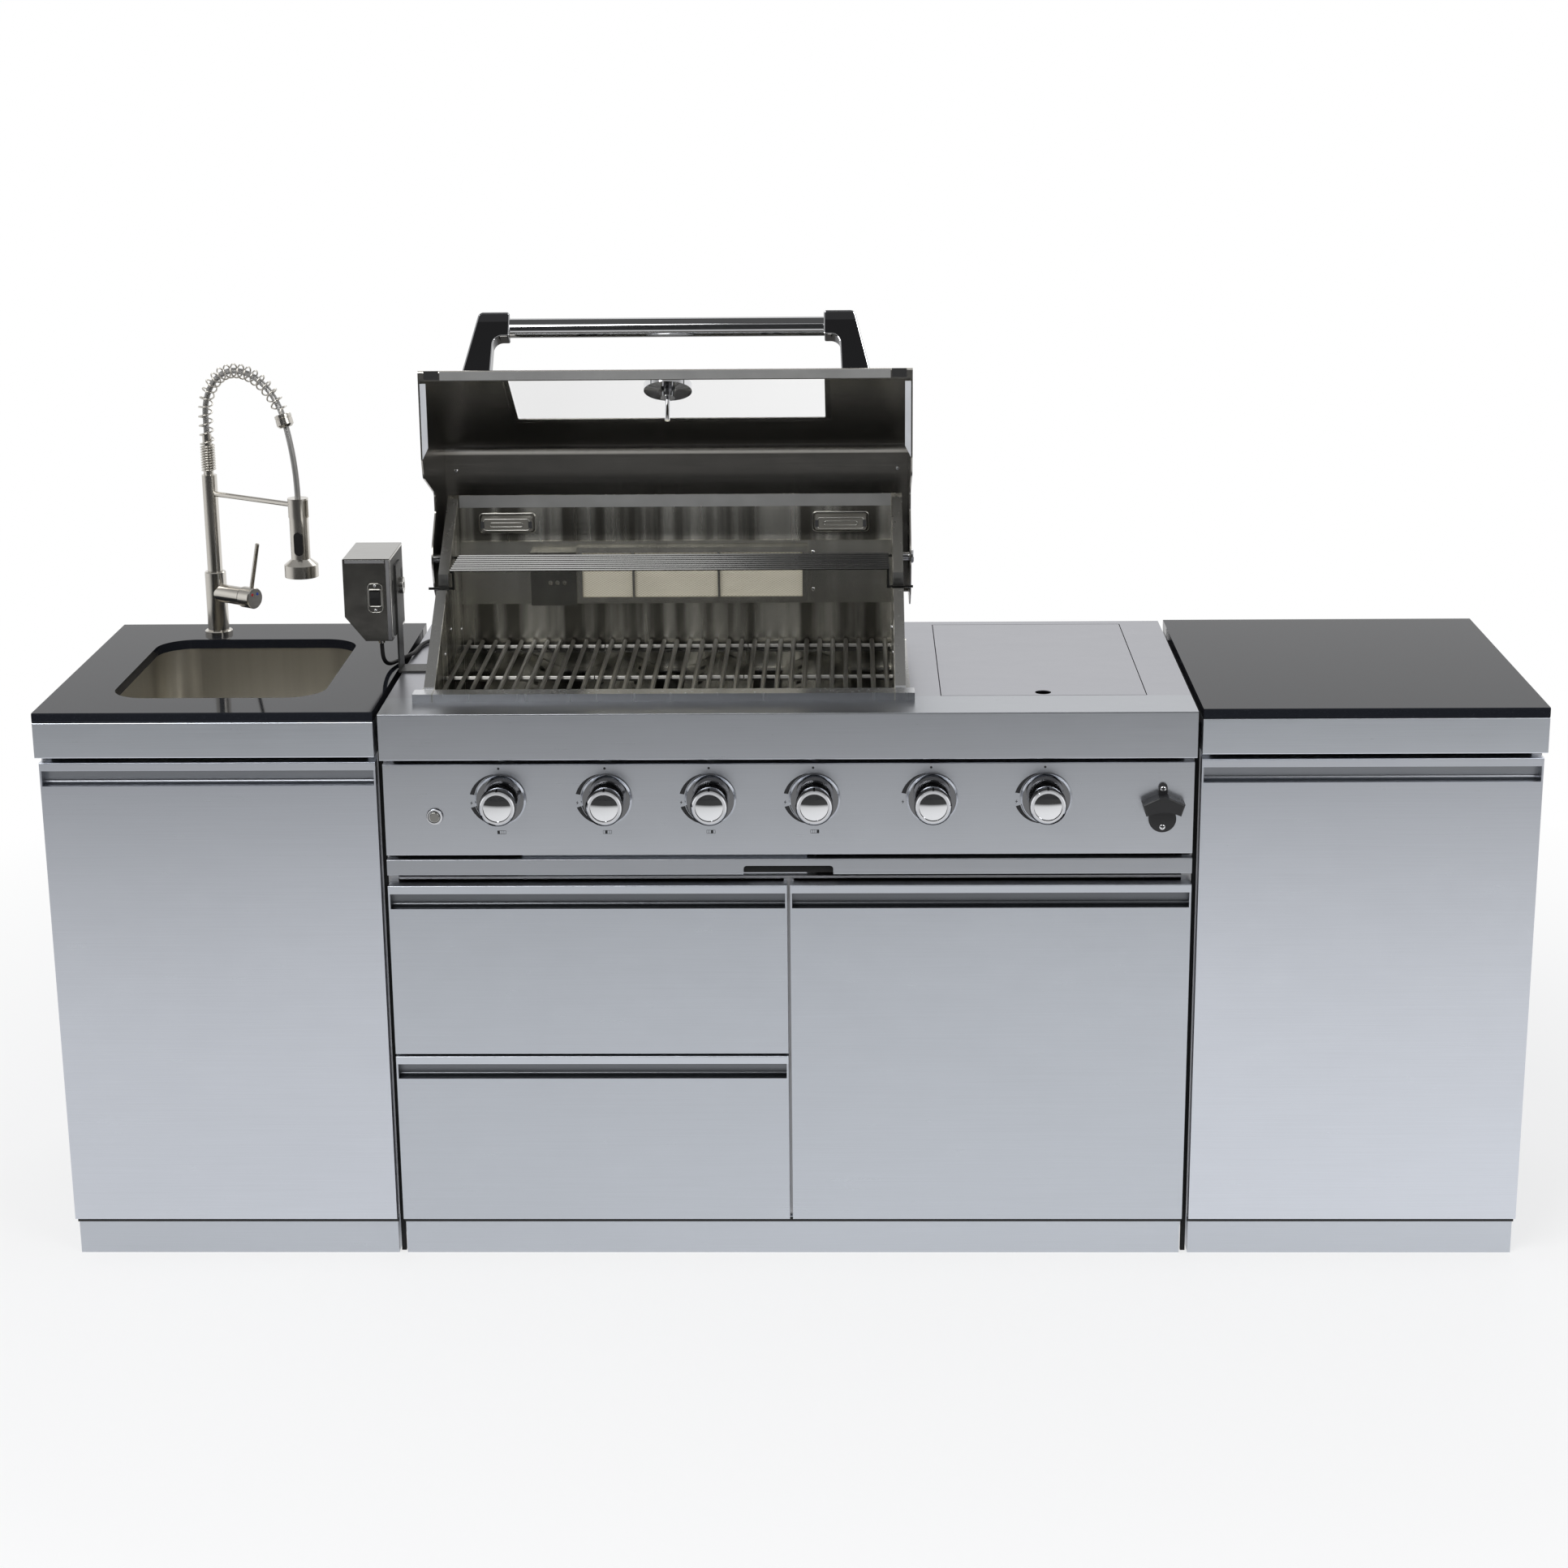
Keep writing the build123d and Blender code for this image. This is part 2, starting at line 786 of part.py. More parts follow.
box_front = front_setback + front_thick
box_rear = box_front + drawer_depth
upper_box_top = upper_box_bottom + drawer_side_height
lower_box_top = lower_box_bottom + drawer_side_height
box_plan = (drawer_0, drawer_1, box_front, box_rear)
drawer_upper_box = open_box(*box_plan, upper_box_bottom, upper_box_top, drawer_wall)
save(drawer_upper_box, "drawer_upper_box")
drawer_lower_box = open_box(*box_plan, lower_box_bottom, lower_box_top, drawer_wall)
save(drawer_lower_box, "drawer_lower_box")

with BuildPart() as grease_tray:
    tray_front = strip_setback + strip_thick
    block(
        tray_0 + free_gap,
        tray_1 - free_gap,
        tray_front,
        tray_front + tray_depth,
        tray_bottom,
        tray_bottom + tray_height,
    )
    offset(amount=-tray_wall, openings=grease_tray.faces().sort_by(Axis.Z)[-1])
    with BuildSketch(Plane.YZ.offset(grill_0 + front_reveal)) as section:
        with Locations((front + strip_setback + strip_thick / 2, (strip_bottom + strip_top) / 2)):
            Rectangle(strip_thick, strip_top - strip_bottom)
        fillet(section.vertices().group_by(Axis.X)[0], edge_round)
    extrude(amount=grill_width - 2 * front_reveal)
    with BuildSketch(Plane.XZ.offset(-front - strip_setback)) as notch:
        with Locations((0, strip_bottom)):
            RectangleRounded(notch_width, 2 * notch_height, notch_height * 0.4)
    extrude(amount=-(strip_thick - tray_wall), mode=Mode.SUBTRACT)
save(grease_tray, "grease_tray")

# Control knobs, each with a pointer groove in its rim
knob_base = panel_face - bezel_depth - seat_gap
knob_tall = knob_length - seat_gap
knobs = []
for number, x in enumerate(knob_x, 1):
    with BuildPart() as knob:
        with BuildSketch(Plane((x, knob_base, knob_height))) as half:
            bore = stem_radius + running
            with BuildLine():
                Polyline(
                    (bore, 0),
                    (knob_waist, 0),
                    (knob_waist, -knob_tall * 0.5),
                    (knob_radius, -knob_tall * 0.62),
                    (knob_radius, -knob_tall),
                    (knob_disc, -knob_tall),
                    (knob_disc, -knob_tall + knob_recess),
                    (0, -knob_tall + knob_recess),
                    (0, -stem_grip),
                    (bore, -stem_grip),
                    close=True,
                )
            make_face()
            rim = half.vertices().group_by(Axis.Y)[0].sort_by(Axis.X)[-1]
            chamfer(rim, knob_rim)
        revolve(axis=Axis((x, knob_base, knob_height), (0, 1, 0)))
        with Locations((x, knob_base - knob_tall + knob_groove, knob_height + knob_radius)):
            Box(knob_groove / 2, knob_groove * 2, knob_groove, mode=Mode.SUBTRACT)
    knobs.append(save(knob, "knob_" + str(number)))

with BuildPart() as light_button:
    with BuildSketch(Plane.XZ.offset(-panel_face + button_ring_depth + button_stand)) as face:
        with Locations((button_x, button_z)):
            Circle(button_radius)
    extrude(amount=-button_depth)
    fillet(light_button.edges().group_by(Axis.Y)[0], edge_round)
save(light_button, "light_button")

with BuildPart() as bottle_opener:
    with BuildSketch(Plane.XZ.offset(-panel_face)) as plate:
        with Locations((opener_x, opener_z - 19)):
            Circle(22)
        with Locations((opener_x, opener_z + 16)):
            RectangleRounded(14, 48, 6.9)
    extrude(amount=opener_plate)
    with BuildSketch(Plane.XZ.offset(-panel_face)) as wings:
        half_wing = opener_width / 2
        with BuildLine():
            Polyline(
                (opener_x - half_wing * 0.82, opener_z - 9),
                (opener_x - half_wing, opener_z + 10),
                (opener_x - 8, opener_z + 22),
                (opener_x + 8, opener_z + 22),
                (opener_x + half_wing, opener_z + 10),
                (opener_x + half_wing * 0.82, opener_z - 9),
            )
            ThreePointArc(
                (opener_x + half_wing * 0.82, opener_z - 9),
                (opener_x, opener_z - 2),
                (opener_x - half_wing * 0.82, opener_z - 9),
            )
        make_face()
    extrude(amount=opener_depth)
    fillet(bottle_opener.edges().filter_by(GeomType.LINE).group_by(Axis.Y)[0], 3)
    with BuildSketch(Plane.XZ.offset(-panel_face + opener_plate)) as mouth:
        with Locations((opener_x, opener_z - 6)):
            Rectangle(opener_width * 0.6, 36)
    extrude(amount=opener_depth - 2 * opener_plate, mode=Mode.SUBTRACT)
save(bottle_opener, "bottle_opener")

# Firebox with its slanted side walls, front sill and grate ledges
fire_back = fire_rear + fire_sheet
rod_z = grate_top - 2 * bar_radius - rod_radius + weld
ledge_top = rod_z - rod_radius - free_gap
tamer_base = tamer_top - tamer_rise
tamer_ledge = tamer_base - free_gap
cavity_0 = fire_0 + fire_wall
cavity_1 = fire_1 - fire_wall
cavity_front = fire_front + fire_sheet
end_bar_z = rack_height - 2 * wire_radius + weld
tip_z = spit_floor + free_gap + wire_radius

with BuildPart() as firebox:
    with BuildSketch(Plane.YZ.offset(fire_0)) as side_outline:
        with BuildLine():
            Polyline(
                (front + fire_front, fire_bottom),
                (front + fire_front, sill_top),
                (front + mouth_front, sill_top),
                (front + fire_back, fire_top),
                (front + fire_back, fire_bottom),
                close=True,
            )
        make_face()
    extrude(amount=fire_width)
    cavity_floor = fire_bottom + fire_sheet
    block(cavity_0, cavity_1, cavity_front, fire_rear, cavity_floor, fire_top + 1, Mode.SUBTRACT)
    block(fire_x - sill_width / 2, fire_x + sill_width / 2, sill_front, cavity_front, deck_height, sill_top)
    flange_top = deck_height + flange_sheet
    block(fire_0 - flange_width, fire_0, fire_front, fire_back, deck_height, flange_top)
    block(fire_1, fire_1 + flange_width, fire_front, fire_back, deck_height, flange_top)
    flange_back = fire_back + flange_width
    block(fire_0 - flange_width, fire_1 + flange_width, fire_back, flange_back, deck_height, flange_top)
    for top in (ledge_top, tamer_ledge):
        block(cavity_0, cavity_1, cavity_front, cavity_front + ledge_width, top - fire_sheet, top)
        block(cavity_0, cavity_1, fire_rear - ledge_width, fire_rear, top - fire_sheet, top)
    notch_0 = spit_y - spit_notch / 2
    notch_1 = spit_y + spit_notch / 2
    block(fire_0 - 1, fire_1 + 1, notch_0, notch_1, spit_floor, fire_top, Mode.SUBTRACT)
    drain_0 = (fire_front + fire_back - drain_depth) / 2
    drain_x = drain_width / 2
    block(
        fire_x - drain_x,
        fire_x + drain_x,
        drain_0,
        drain_0 + drain_depth,
        fire_bottom,
        cavity_floor,
        Mode.SUBTRACT,
    )
    with BuildSketch(Plane.XZ.offset(-front - fire_front)) as burner_holes:
        with Locations(*[(x, burner_height) for x in knob_x[:4]]):
            Circle(burner_radius + free_gap)
    extrude(amount=-fire_sheet, mode=Mode.SUBTRACT)
    for wall in (cavity_0 - rack_tip, cavity_1):
        with BuildSketch(Plane.YZ.offset(wall)) as peg_holes:
            with Locations((front + rack_rear - wire_radius, end_bar_z)):
                Circle(wire_radius + free_gap)
        extrude(amount=rack_tip, mode=Mode.SUBTRACT)
save(firebox, "firebox")

with BuildPart() as hood_pivots:
    for x, way in ((fire_0, -1), (fire_1, 1)):
        shank = (hood_width - fire_width) / 2 + free_gap
        with BuildSketch(Plane((x, front + pivot_y, pivot_z), z_dir=(way, 0, 0))):
            Circle(pivot_radius)
        extrude(amount=shank)
        with BuildSketch(Plane((x + way * shank, front + pivot_y, pivot_z), z_dir=(way, 0, 0))):
            Circle(pivot_head)
        extrude(amount=pivot_cap)
    chamfer(hood_pivots.edges().group_by(Axis.X)[0] + hood_pivots.edges().group_by(Axis.X)[-1], edge_round)
save(hood_pivots, "hood_pivots")

# Cooking grates in equal sections of welded rods
section_width = (cavity_1 - cavity_0) / grate_sets
bar_z = grate_top - bar_radius

with BuildPart() as cooking_grates:
    for number in range(grate_sets):
        middle = cavity_0 + section_width * (number + 0.5)
        pitch = section_width / grate_bars
        with BuildSketch(Plane.XZ.offset(-front - grate_front)):
            with Locations((middle, bar_z)):
                with GridLocations(pitch, 1, grate_bars, 1):
                    RegularPolygon(bar_radius, rod_sides)
        extrude(amount=-(grate_rear - grate_front))
        with BuildSketch(Plane.YZ.offset(middle - section_width / 2 + grate_gap)):
            middle_rod = (grate_front + grate_rear) / 2 - rod_bias
            rods = [grate_front + rod_inset, middle_rod, grate_rear - rod_inset]
            with Locations(*[(front + y, rod_z) for y in rods]):
                RegularPolygon(rod_radius, rod_sides)
        extrude(amount=section_width - 2 * grate_gap)
save(cooking_grates, "cooking_grates")

# Slotted flame tamers over the burners
with BuildPart() as flame_tamers:
    for x in knob_x[:4]:
        with BuildSketch(Plane.XZ.offset(-front - cavity_front - tamer_inset)):
            half = tamer_width / 2
            with BuildLine():
                Polyline(
                    (x - half, tamer_base),
                    (x, tamer_top),
                    (x + half, tamer_base),
                    (x + half - 2 * tamer_sheet, tamer_base),
                    (x, tamer_top - 2 * tamer_sheet),
                    (x - half + 2 * tamer_sheet, tamer_base),
                    close=True,
                )
            make_face()
        extrude(amount=-(fire_rear - cavity_front - 2 * tamer_inset))
        with BuildSketch(Plane.XY.offset(tamer_base)):
            with Locations((x, front + (cavity_front + fire_rear) / 2)):
                with GridLocations(tamer_width / 2, tamer_slot * 2, 2, tamer_slots):
                    Rectangle(tamer_slot_width, tamer_slot)
        extrude(amount=tamer_rise, mode=Mode.SUBTRACT)
save(flame_tamers, "flame_tamers")

# Tube burners with a bell mouth in front of the firebox
with BuildPart() as main_burners:
    for x in knob_x[:4]:
        with BuildSketch(Plane((x, front, burner_height))) as half:
            with BuildLine():
                Polyline(
                    (burner_jet, burner_front),
                    (burner_mouth, burner_front),
                    (burner_radius, fire_front - free_gap),
                    (burner_radius, fire_rear - free_gap),
                    (0, fire_rear - free_gap),
                    (0, fire_front + burner_throat),
                    (burner_jet, fire_front + burner_throat),
                    close=True,
                )
            make_face()
        revolve(axis=Axis((x, front, burner_height), (0, 1, 0)))
save(main_burners, "main_burners")

# Gas pipe with a valve, stem and jet behind each knob
with BuildPart() as gas_manifold:
    with BuildSketch(Plane.YZ.offset(knob_x[0] - pipe_end)):
        with Locations((front + pipe_setback, knob_height)):
            Circle(pipe_radius)
    extrude(amount=knob_x[-1] - knob_x[0] + 2 * pipe_end)
    valve_front = panel_setback + panel_sheet
    for number, x in enumerate(knob_x):
        half = valve_size / 2
        block(x - half, x + half, valve_front, pipe_setback, knob_height - half, knob_height + half)
        with BuildSketch(Plane.XZ.offset(-front - valve_front)):
            with Locations((x, knob_height)):
                Circle(stem_radius)
        extrude(amount=valve_front - (knob_base - front) + stem_grip - seat_gap)
        if number < 4:
            with BuildSketch(Plane.XY.offset(knob_height)):
                with Locations((x, front + riser_setback)):
                    Circle(riser_radius)
            extrude(amount=burner_height - knob_height + riser_radius)
            with BuildSketch(Plane.XZ.offset(-front - riser_setback)):
                with Locations((x, burner_height)):
                    Circle(stem_radius)
            extrude(amount=-(burner_front - riser_setback + seat_gap))
save(gas_manifold, "gas_manifold")

# Rear infrared burner on its plate
plate_face = fire_rear - plate_thick
frame_face = plate_face - rear_frame_depth

with BuildPart() as back_burner:
    block(cavity_0 + free_gap, cavity_1 - free_gap, plate_face, fire_rear, plate_bottom, plate_top)
    block(frame_left, frame_right, frame_face, plate_face, rear_frame_bottom, rear_frame_top)
    border = rear_frame_border
    block(
        frame_left + border,
        frame_right - border,
        frame_face,
        plate_face,
        rear_frame_bottom + border,
        rear_frame_top - border,
        Mode.SUBTRACT,
    )
    for share in (0.24, 0.61):
        x = frame_left + (frame_right - frame_left) * share
        block(x, x + strap_width, frame_face, frame_face + strap_width, rear_frame_bottom, rear_frame_top)
    box_0 = frame_left - rear_box_width
    block(box_0, frame_left, plate_face - rear_box_depth, plate_face, plate_bottom + 2, rear_frame_top - 6)
    with BuildSketch(Plane.XZ.offset(-front - plate_face + rear_box_depth)):
        with Locations((frame_left - 33, plate_bottom + 42)):
            with GridLocations(12, 1, 3, 1):
                Circle(4)
    extrude(amount=-8, mode=Mode.SUBTRACT)
save(back_burner, "back_burner")

with BuildPart() as back_burner_tile:
    block(
        frame_left + border + free_gap,
        frame_right - border - free_gap,
        plate_face - tile_thick,
        plate_face,
        rear_frame_bottom + border + free_gap,
        rear_frame_top - border - free_gap,
    )
save(back_burner_tile, "back_burner_tile")

with BuildPart() as oven_lamps:
    for x in lamp_x:
        with BuildSketch(Plane.XZ.offset(-front - fire_rear)):
            with Locations((x, lamp_z)):
                RectangleRounded(lamp_width, lamp_height, lamp_corner)
        extrude(amount=lamp_depth, taper=8)
save(oven_lamps, "oven_lamps")

# Wire warming rack with tips in the side walls
wire_pitch = (rack_rear - rack_front - 2 * wire_radius) / (rack_wires - 1)
rack_0 = cavity_0 + rack_inset
rack_1 = cavity_1 - rack_inset

with BuildPart() as warming_rack:
    with BuildSketch(Plane.YZ.offset(rack_0 - wire_radius)):
        with Locations((front + (rack_front + rack_rear) / 2, rack_height)):
            with GridLocations(wire_pitch, 1, rack_wires, 1):
                RegularPolygon(wire_radius, rod_sides)
    extrude(amount=rack_1 - rack_0 + 2 * wire_radius)
    for x, way, wall in ((rack_0, -1, cavity_0), (rack_1, 1, cavity_1)):
        with BuildSketch(Plane.XZ.offset(-front - rack_front)):
            with Locations((x, end_bar_z)):
                RegularPolygon(wire_radius, rod_sides)
        extrude(amount=-(rack_rear - rack_front))
        with BuildSketch(Plane.XY.offset(end_bar_z)):
            with Locations((x, front + rack_leg_y)):
                RegularPolygon(wire_radius, rod_sides)
        extrude(amount=tip_z - wire_radius - end_bar_z)
        tip_length = rack_inset + fire_wall + rack_tip
        with BuildSketch(Plane((x, front + rack_leg_y, tip_z), z_dir=(way, 0, 0))):
            RegularPolygon(wire_radius, rod_sides)
        extrude(amount=tip_length)
        with BuildSketch(Plane((x, front + rack_rear - wire_radius, end_bar_z), z_dir=(way, 0, 0))):
            RegularPolygon(wire_radius, rod_sides)
        extrude(amount=rack_inset + rack_tip / 2)
save(warming_rack, "warming_rack")

# Hood, drawn closed and turned a quarter turn back to its open rest


def opened(y, z):
    return (front + pivot_y + z - pivot_z, pivot_z - y + pivot_y)


lip_point = opened(lip_y, lip_z)
bend_point = opened(bend_y, hood_top)
panel_length = math.dist(lip_point, bend_point)
panel_run = ((bend_point[0] - lip_point[0]) / panel_length, (bend_point[1] - lip_point[1]) / panel_length)
panel_out = (0, -panel_run[1], panel_run[0])
lip_origin = (fire_x, lip_point[0], lip_point[1])
panel_plane = Plane(lip_origin, x_dir=(1, 0, 0), z_dir=panel_out)
window_mid = window_from_lip + window_height / 2

with BuildPart() as hood_shell:
    with BuildSketch(Plane.YZ.offset(hood_0 + hood_sheet)):
        with BuildLine():
            FilletPolyline(
                opened(lip_y + lip_flange, lip_z),
                lip_point,
                bend_point,
                opened(hood_rear, hood_top),
                opened(hood_rear, hood_top - hood_return),
                radius=[lip_round, bend_round, rear_round],
            )
            offset(amount=hood_sheet, side=Side.RIGHT)
        make_face()
    extrude(amount=hood_width - 2 * hood_sheet)
    with BuildSketch(panel_plane):
        with Locations((0, window_mid)):
            Rectangle(window_width, window_height)
    extrude(amount=2 * hood_sheet, both=True, mode=Mode.SUBTRACT)
save(hood_shell, "hood_shell")

with BuildPart() as hood_end_caps:
    for x in (hood_0, hood_1 - hood_sheet):
        with BuildSketch(Plane.YZ.offset(x)):
            with BuildLine():
                FilletPolyline(
                    lip_point,
                    bend_point,
                    opened(hood_rear, hood_top),
                    opened(hood_rear, pivot_z),
                    opened(ear_rear_y, ear_rear_z),
                    opened(ear_front_y, ear_front_z),
                    opened(cut_rear, cut_top),
                    opened(cut_front, cut_top),
                    opened(cap_rise_y, lip_z + cap_rise),
                    opened(cap_low_y, lip_z),
                    radius=[lip_round, bend_round, rear_round, 30, 60, 45, 8, 8, 16, 16],
                    close=True,
                )
            make_face()
            with Locations((front + pivot_y, pivot_z)):
                Circle(pivot_radius + running, mode=Mode.SUBTRACT)
        extrude(amount=hood_sheet)
save(hood_end_caps, "hood_end_caps")

with BuildPart() as hood_window:
    with BuildSketch(panel_plane):
        with Locations((0, window_mid)):
            Rectangle(window_width - 2 * free_gap, window_height - 2 * free_gap)
        with Locations((0, gauge_from_lip)):
            Circle(gauge_neck + free_gap, mode=Mode.SUBTRACT)
    extrude(amount=-hood_sheet)
    with BuildSketch(panel_plane.offset(-hood_sheet)):
        with Locations((0, window_mid)):
            Rectangle(window_width + 2 * window_lap, window_height + 2 * window_lap)
        with Locations((0, gauge_from_lip)):
            Circle(gauge_neck + free_gap, mode=Mode.SUBTRACT)
    extrude(amount=-glass)
save(hood_window, "hood_window")

gauge_point = panel_plane.from_local_coords((0, gauge_from_lip, 0))
across = Vector(1, 0, 0).cross(panel_plane.z_dir)

with BuildPart() as thermometer:
    with BuildSketch(Plane(gauge_point, x_dir=(1, 0, 0), z_dir=across)) as half:
        behind = -hood_sheet - glass
        with BuildLine():
            Polyline(
                (0, gauge_depth),
                (gauge_radius - 6, gauge_depth),
                (gauge_radius, gauge_depth - 6),
                (gauge_radius, 0),
                (gauge_neck, 0),
                (gauge_neck, behind),
                (gauge_neck + 5, behind),
                (gauge_neck + 5, behind - 8),
                (gauge_stem, behind - 8),
                (gauge_stem, behind - gauge_reach),
                (0, behind - gauge_reach),
                close=True,
            )
        make_face()
    revolve(axis=Axis(gauge_point, panel_plane.z_dir))
save(thermometer, "thermometer")

with BuildPart() as hood_handle:
    tube = panel_plane.from_local_coords((-handle_length / 2, handle_from_lip, handle_off))
    with BuildSketch(Plane(tube, x_dir=(0, 1, 0), z_dir=(1, 0, 0))):
        Circle(handle_radius)
        Circle(handle_radius - handle_wall, mode=Mode.SUBTRACT)
    extrude(amount=handle_length)
save(hood_handle, "hood_handle")

with BuildPart() as hood_handle_brackets:
    base = panel_plane.from_local_coords((0, handle_from_lip + bracket_thick / 2, 0))
    low = handle_off - handle_radius - 4
    for way in (-1, 1):
        with BuildSketch(Plane(base, x_dir=(1, 0, 0), z_dir=across)) as post:
            with BuildLine():
                FilletPolyline(
                    (way * handle_length / 2, bracket_top),
                    (way * (bracket_span / 2 - bracket_slant), bracket_top),
                    (way * bracket_span / 2, 0),
                    (way * (bracket_span / 2 - bracket_foot), 0),
                    (way * (handle_length / 2 + 26), low),
                    (way * handle_length / 2, low),
                    radius=[4, 8, 2, 2, 16, 3],
                    close=True,
                )
            make_face()
        extrude(amount=bracket_thick)
save(hood_handle_brackets, "hood_handle_brackets")

# Side burner in its well, under a flush lid
lid_x = (lid_left + lid_right) / 2
lid_y = (lid_front + lid_rear) / 2
well_bottom = deck_under - well_depth
lid_under = deck_height - lid_thick

with BuildPart() as side_burner:
    well_0 = lid_left - well_lap
    well_1 = lid_right + well_lap
    well_rear = lid_rear + well_lap
    block(well_0, well_1, band_depth, well_rear, well_bottom, deck_under)
    offset(amount=-well_sheet, openings=side_burner.faces().sort_by(Axis.Z)[-1])
    ledge = lid_under - free_gap
    block(well_0, lid_left + well_ledge, band_depth, well_rear, ledge - well_sheet, ledge)
    block(lid_right - well_ledge, well_1, band_depth, well_rear, ledge - well_sheet, ledge)
    with BuildSketch(Plane((lid_x, front + lid_y, well_bottom), x_dir=(1, 0, 0), z_dir=(0, -1, 0))):
        with BuildLine():
            Polyline(
                (0, 0),
                (ring_radius * 0.45, 0),
                (ring_radius * 0.45, ring_rise),
                (ring_radius, ring_rise + 6),
                (ring_radius, ring_rise + 16),
                (ring_radius * 0.8, ring_rise + 16),
                (ring_radius * 0.7, ring_rise + 24),
                (0, ring_rise + 24),
                close=True,
            )
        make_face()
    revolve(axis=Axis((lid_x, front + lid_y, 0), (0, 0, 1)))
    with BuildSketch(Plane.XY.offset(well_bottom + ring_rise + 28)):
        with Locations((lid_x, front + lid_y)):
            with PolarLocations(ring_radius + 10, 4):
                Rectangle(support_length, support_width)
    extrude(amount=-ring_rise - 27)
save(side_burner, "side_burner")

with BuildPart() as side_burner_lid:
    block(lid_left, lid_right, lid_front, lid_rear, lid_under, deck_height)
    offset(amount=-well_sheet, openings=side_burner_lid.faces().sort_by(Axis.Z)[0])
    with Locations((lid_x, front + lid_front + lid_hole_from_front, deck_height)):
        Hole(lid_hole, lid_thick)
save(side_burner_lid, "side_burner_lid")

# Rotisserie motor on its bracket
with BuildPart() as rotisserie_bracket:
    leg_0 = motor_right
    foot_rear = foot_front + foot_depth
    block(leg_0, leg_0 + foot_sheet, foot_front, foot_rear, deck_height + foot_sheet, leg_top)
    block(leg_0, foot_right, foot_front, foot_rear, deck_height, deck_height + foot_sheet)
    with BuildSketch(Plane.YZ.offset(leg_0)):
        with Locations((front + spit_y, spit_z)):
            Circle(socket_radius + free_gap)
    extrude(amount=foot_sheet, mode=Mode.SUBTRACT)
save(rotisserie_bracket, "rotisserie_bracket")

with BuildPart() as rotisserie_motor:
    with BuildSketch(Plane.XZ.offset(-front - motor_front)) as face:
        with BuildLine():
            Polyline(
                (motor_left, motor_top),
                (motor_right, motor_top),
                (motor_right, motor_bottom),
                (motor_left + motor_cut_width, motor_bottom),
                (motor_left, motor_bottom + motor_cut_height),
                close=True,
            )
        make_face()
    extrude(amount=-motor_depth)
    fillet(rotisserie_motor.edges().filter_by(Axis.Y), edge_round)
    with BuildSketch(Plane.XZ.offset(-front - motor_front)):
        with Locations((switch_x, switch_z)):
            RectangleRounded(switch_plate_width, switch_plate_height, switch_plate_width * 0.3)
    extrude(amount=switch_plate)
    with BuildSketch(Plane.XZ.offset(-front - motor_front + switch_plate)):
        with Locations((switch_x, switch_z)):
            Rectangle(switch_width + 2 * seat_gap, switch_height + 4 * seat_gap)
    extrude(amount=-switch_pocket - switch_plate, mode=Mode.SUBTRACT)
    with BuildSketch(Plane.YZ.offset(motor_right)):
        with Locations((front + spit_y, spit_z)):
            Circle(socket_radius)
            Rectangle(2 * socket_bore, 2 * socket_bore, mode=Mode.SUBTRACT)
    extrude(amount=socket_reach)
    with BuildSketch(Plane.XY.offset(motor_bottom)):
        with Locations((gland_x, front + gland_y)):
            Circle(gland_radius)
    extrude(amount=-gland_length, taper=12)
save(rotisserie_motor, "rotisserie_motor")

with BuildPart() as motor_switch:
    switch_y = front + motor_front - switch_plate
    with BuildSketch(Plane.YZ.offset(switch_x - switch_width / 2)):
        half = switch_height / 2
        with BuildLine():
            Polyline(
                (switch_y - switch_proud, switch_z + half),
                (switch_y - switch_proud * 0.4, switch_z),
                (switch_y - switch_proud, switch_z - half),
                (switch_y + switch_depth * 0.5, switch_z - half),
                (switch_y + switch_depth, switch_z - half * 0.4),
                (switch_y + switch_depth, switch_z + half * 0.4),
                (switch_y + switch_depth * 0.5, switch_z + half),
                close=True,
            )
        make_face()
    extrude(amount=switch_width)
save(motor_switch, "motor_switch")

# Tap with a sprung arch, turned to stand over the bowl
tap_foot = (tap_x, front + tap_y, 0)
arm_way = Vector(math.cos(math.radians(tap_turn)), math.sin(math.radians(tap_turn)), 0)
tap_plane = Plane(tap_foot, x_dir=arm_way, z_dir=arm_way.cross(Vector(0, 0, 1)))
boss_plane = Plane((tap_x, front + tap_y, boss_z), x_dir=(0, 0, 1), z_dir=arm_way)
crown_turn = math.radians(crown_angle)
dock_reach = shoulder_radius + crown_radius * math.sin(crown_turn) + fall_radius * (1 - math.sin(crown_turn))
crown_top = arch_start + shoulder_radius
head_top = crown_top - crown_radius * (1 - math.cos(crown_turn)) - fall_radius * math.cos(crown_turn)
dock_top = head_top - spray_lip
dock_bottom = dock_top - dock_height
dock_point = tap_plane.from_local_coords((dock_reach, 0, 0))

with BuildPart() as tap_body:
    with BuildSketch(tap_plane):
        with BuildLine():
            Polyline(
                (0, slab_under - tap_shank_drop),
                (tap_shank, slab_under - tap_shank_drop),
                (tap_shank, slab_under - spray_nut),
                (tap_flange, slab_under - spray_nut),
                (tap_flange, slab_under),
                (tap_shank, slab_under),
                (tap_shank, worktop_height),
                (tap_flange, worktop_height),
                (tap_flange, worktop_height + tap_flange_height - edge_round),
                (tap_flange - edge_round, worktop_height + tap_flange_height),
                (tap_body_radius, worktop_height + tap_flange_height),
                (tap_body_radius, tap_body_top - edge_round),
                (tap_body_radius - edge_round, tap_body_top),
                (tap_pin, tap_body_top),
                (tap_pin, tap_body_top + tap_pin_length),
                (0, tap_body_top + tap_pin_length),
                close=True,
            )
        make_face()
    revolve(axis=Axis(tap_foot, (0, 0, 1)))
    with BuildSketch(boss_plane):
        Circle(boss_radius)
    extrude(amount=boss_reach)
    with BuildSketch(boss_plane.offset(boss_reach)):
        Circle(lever_pin)
    extrude(amount=lever_pin_length)
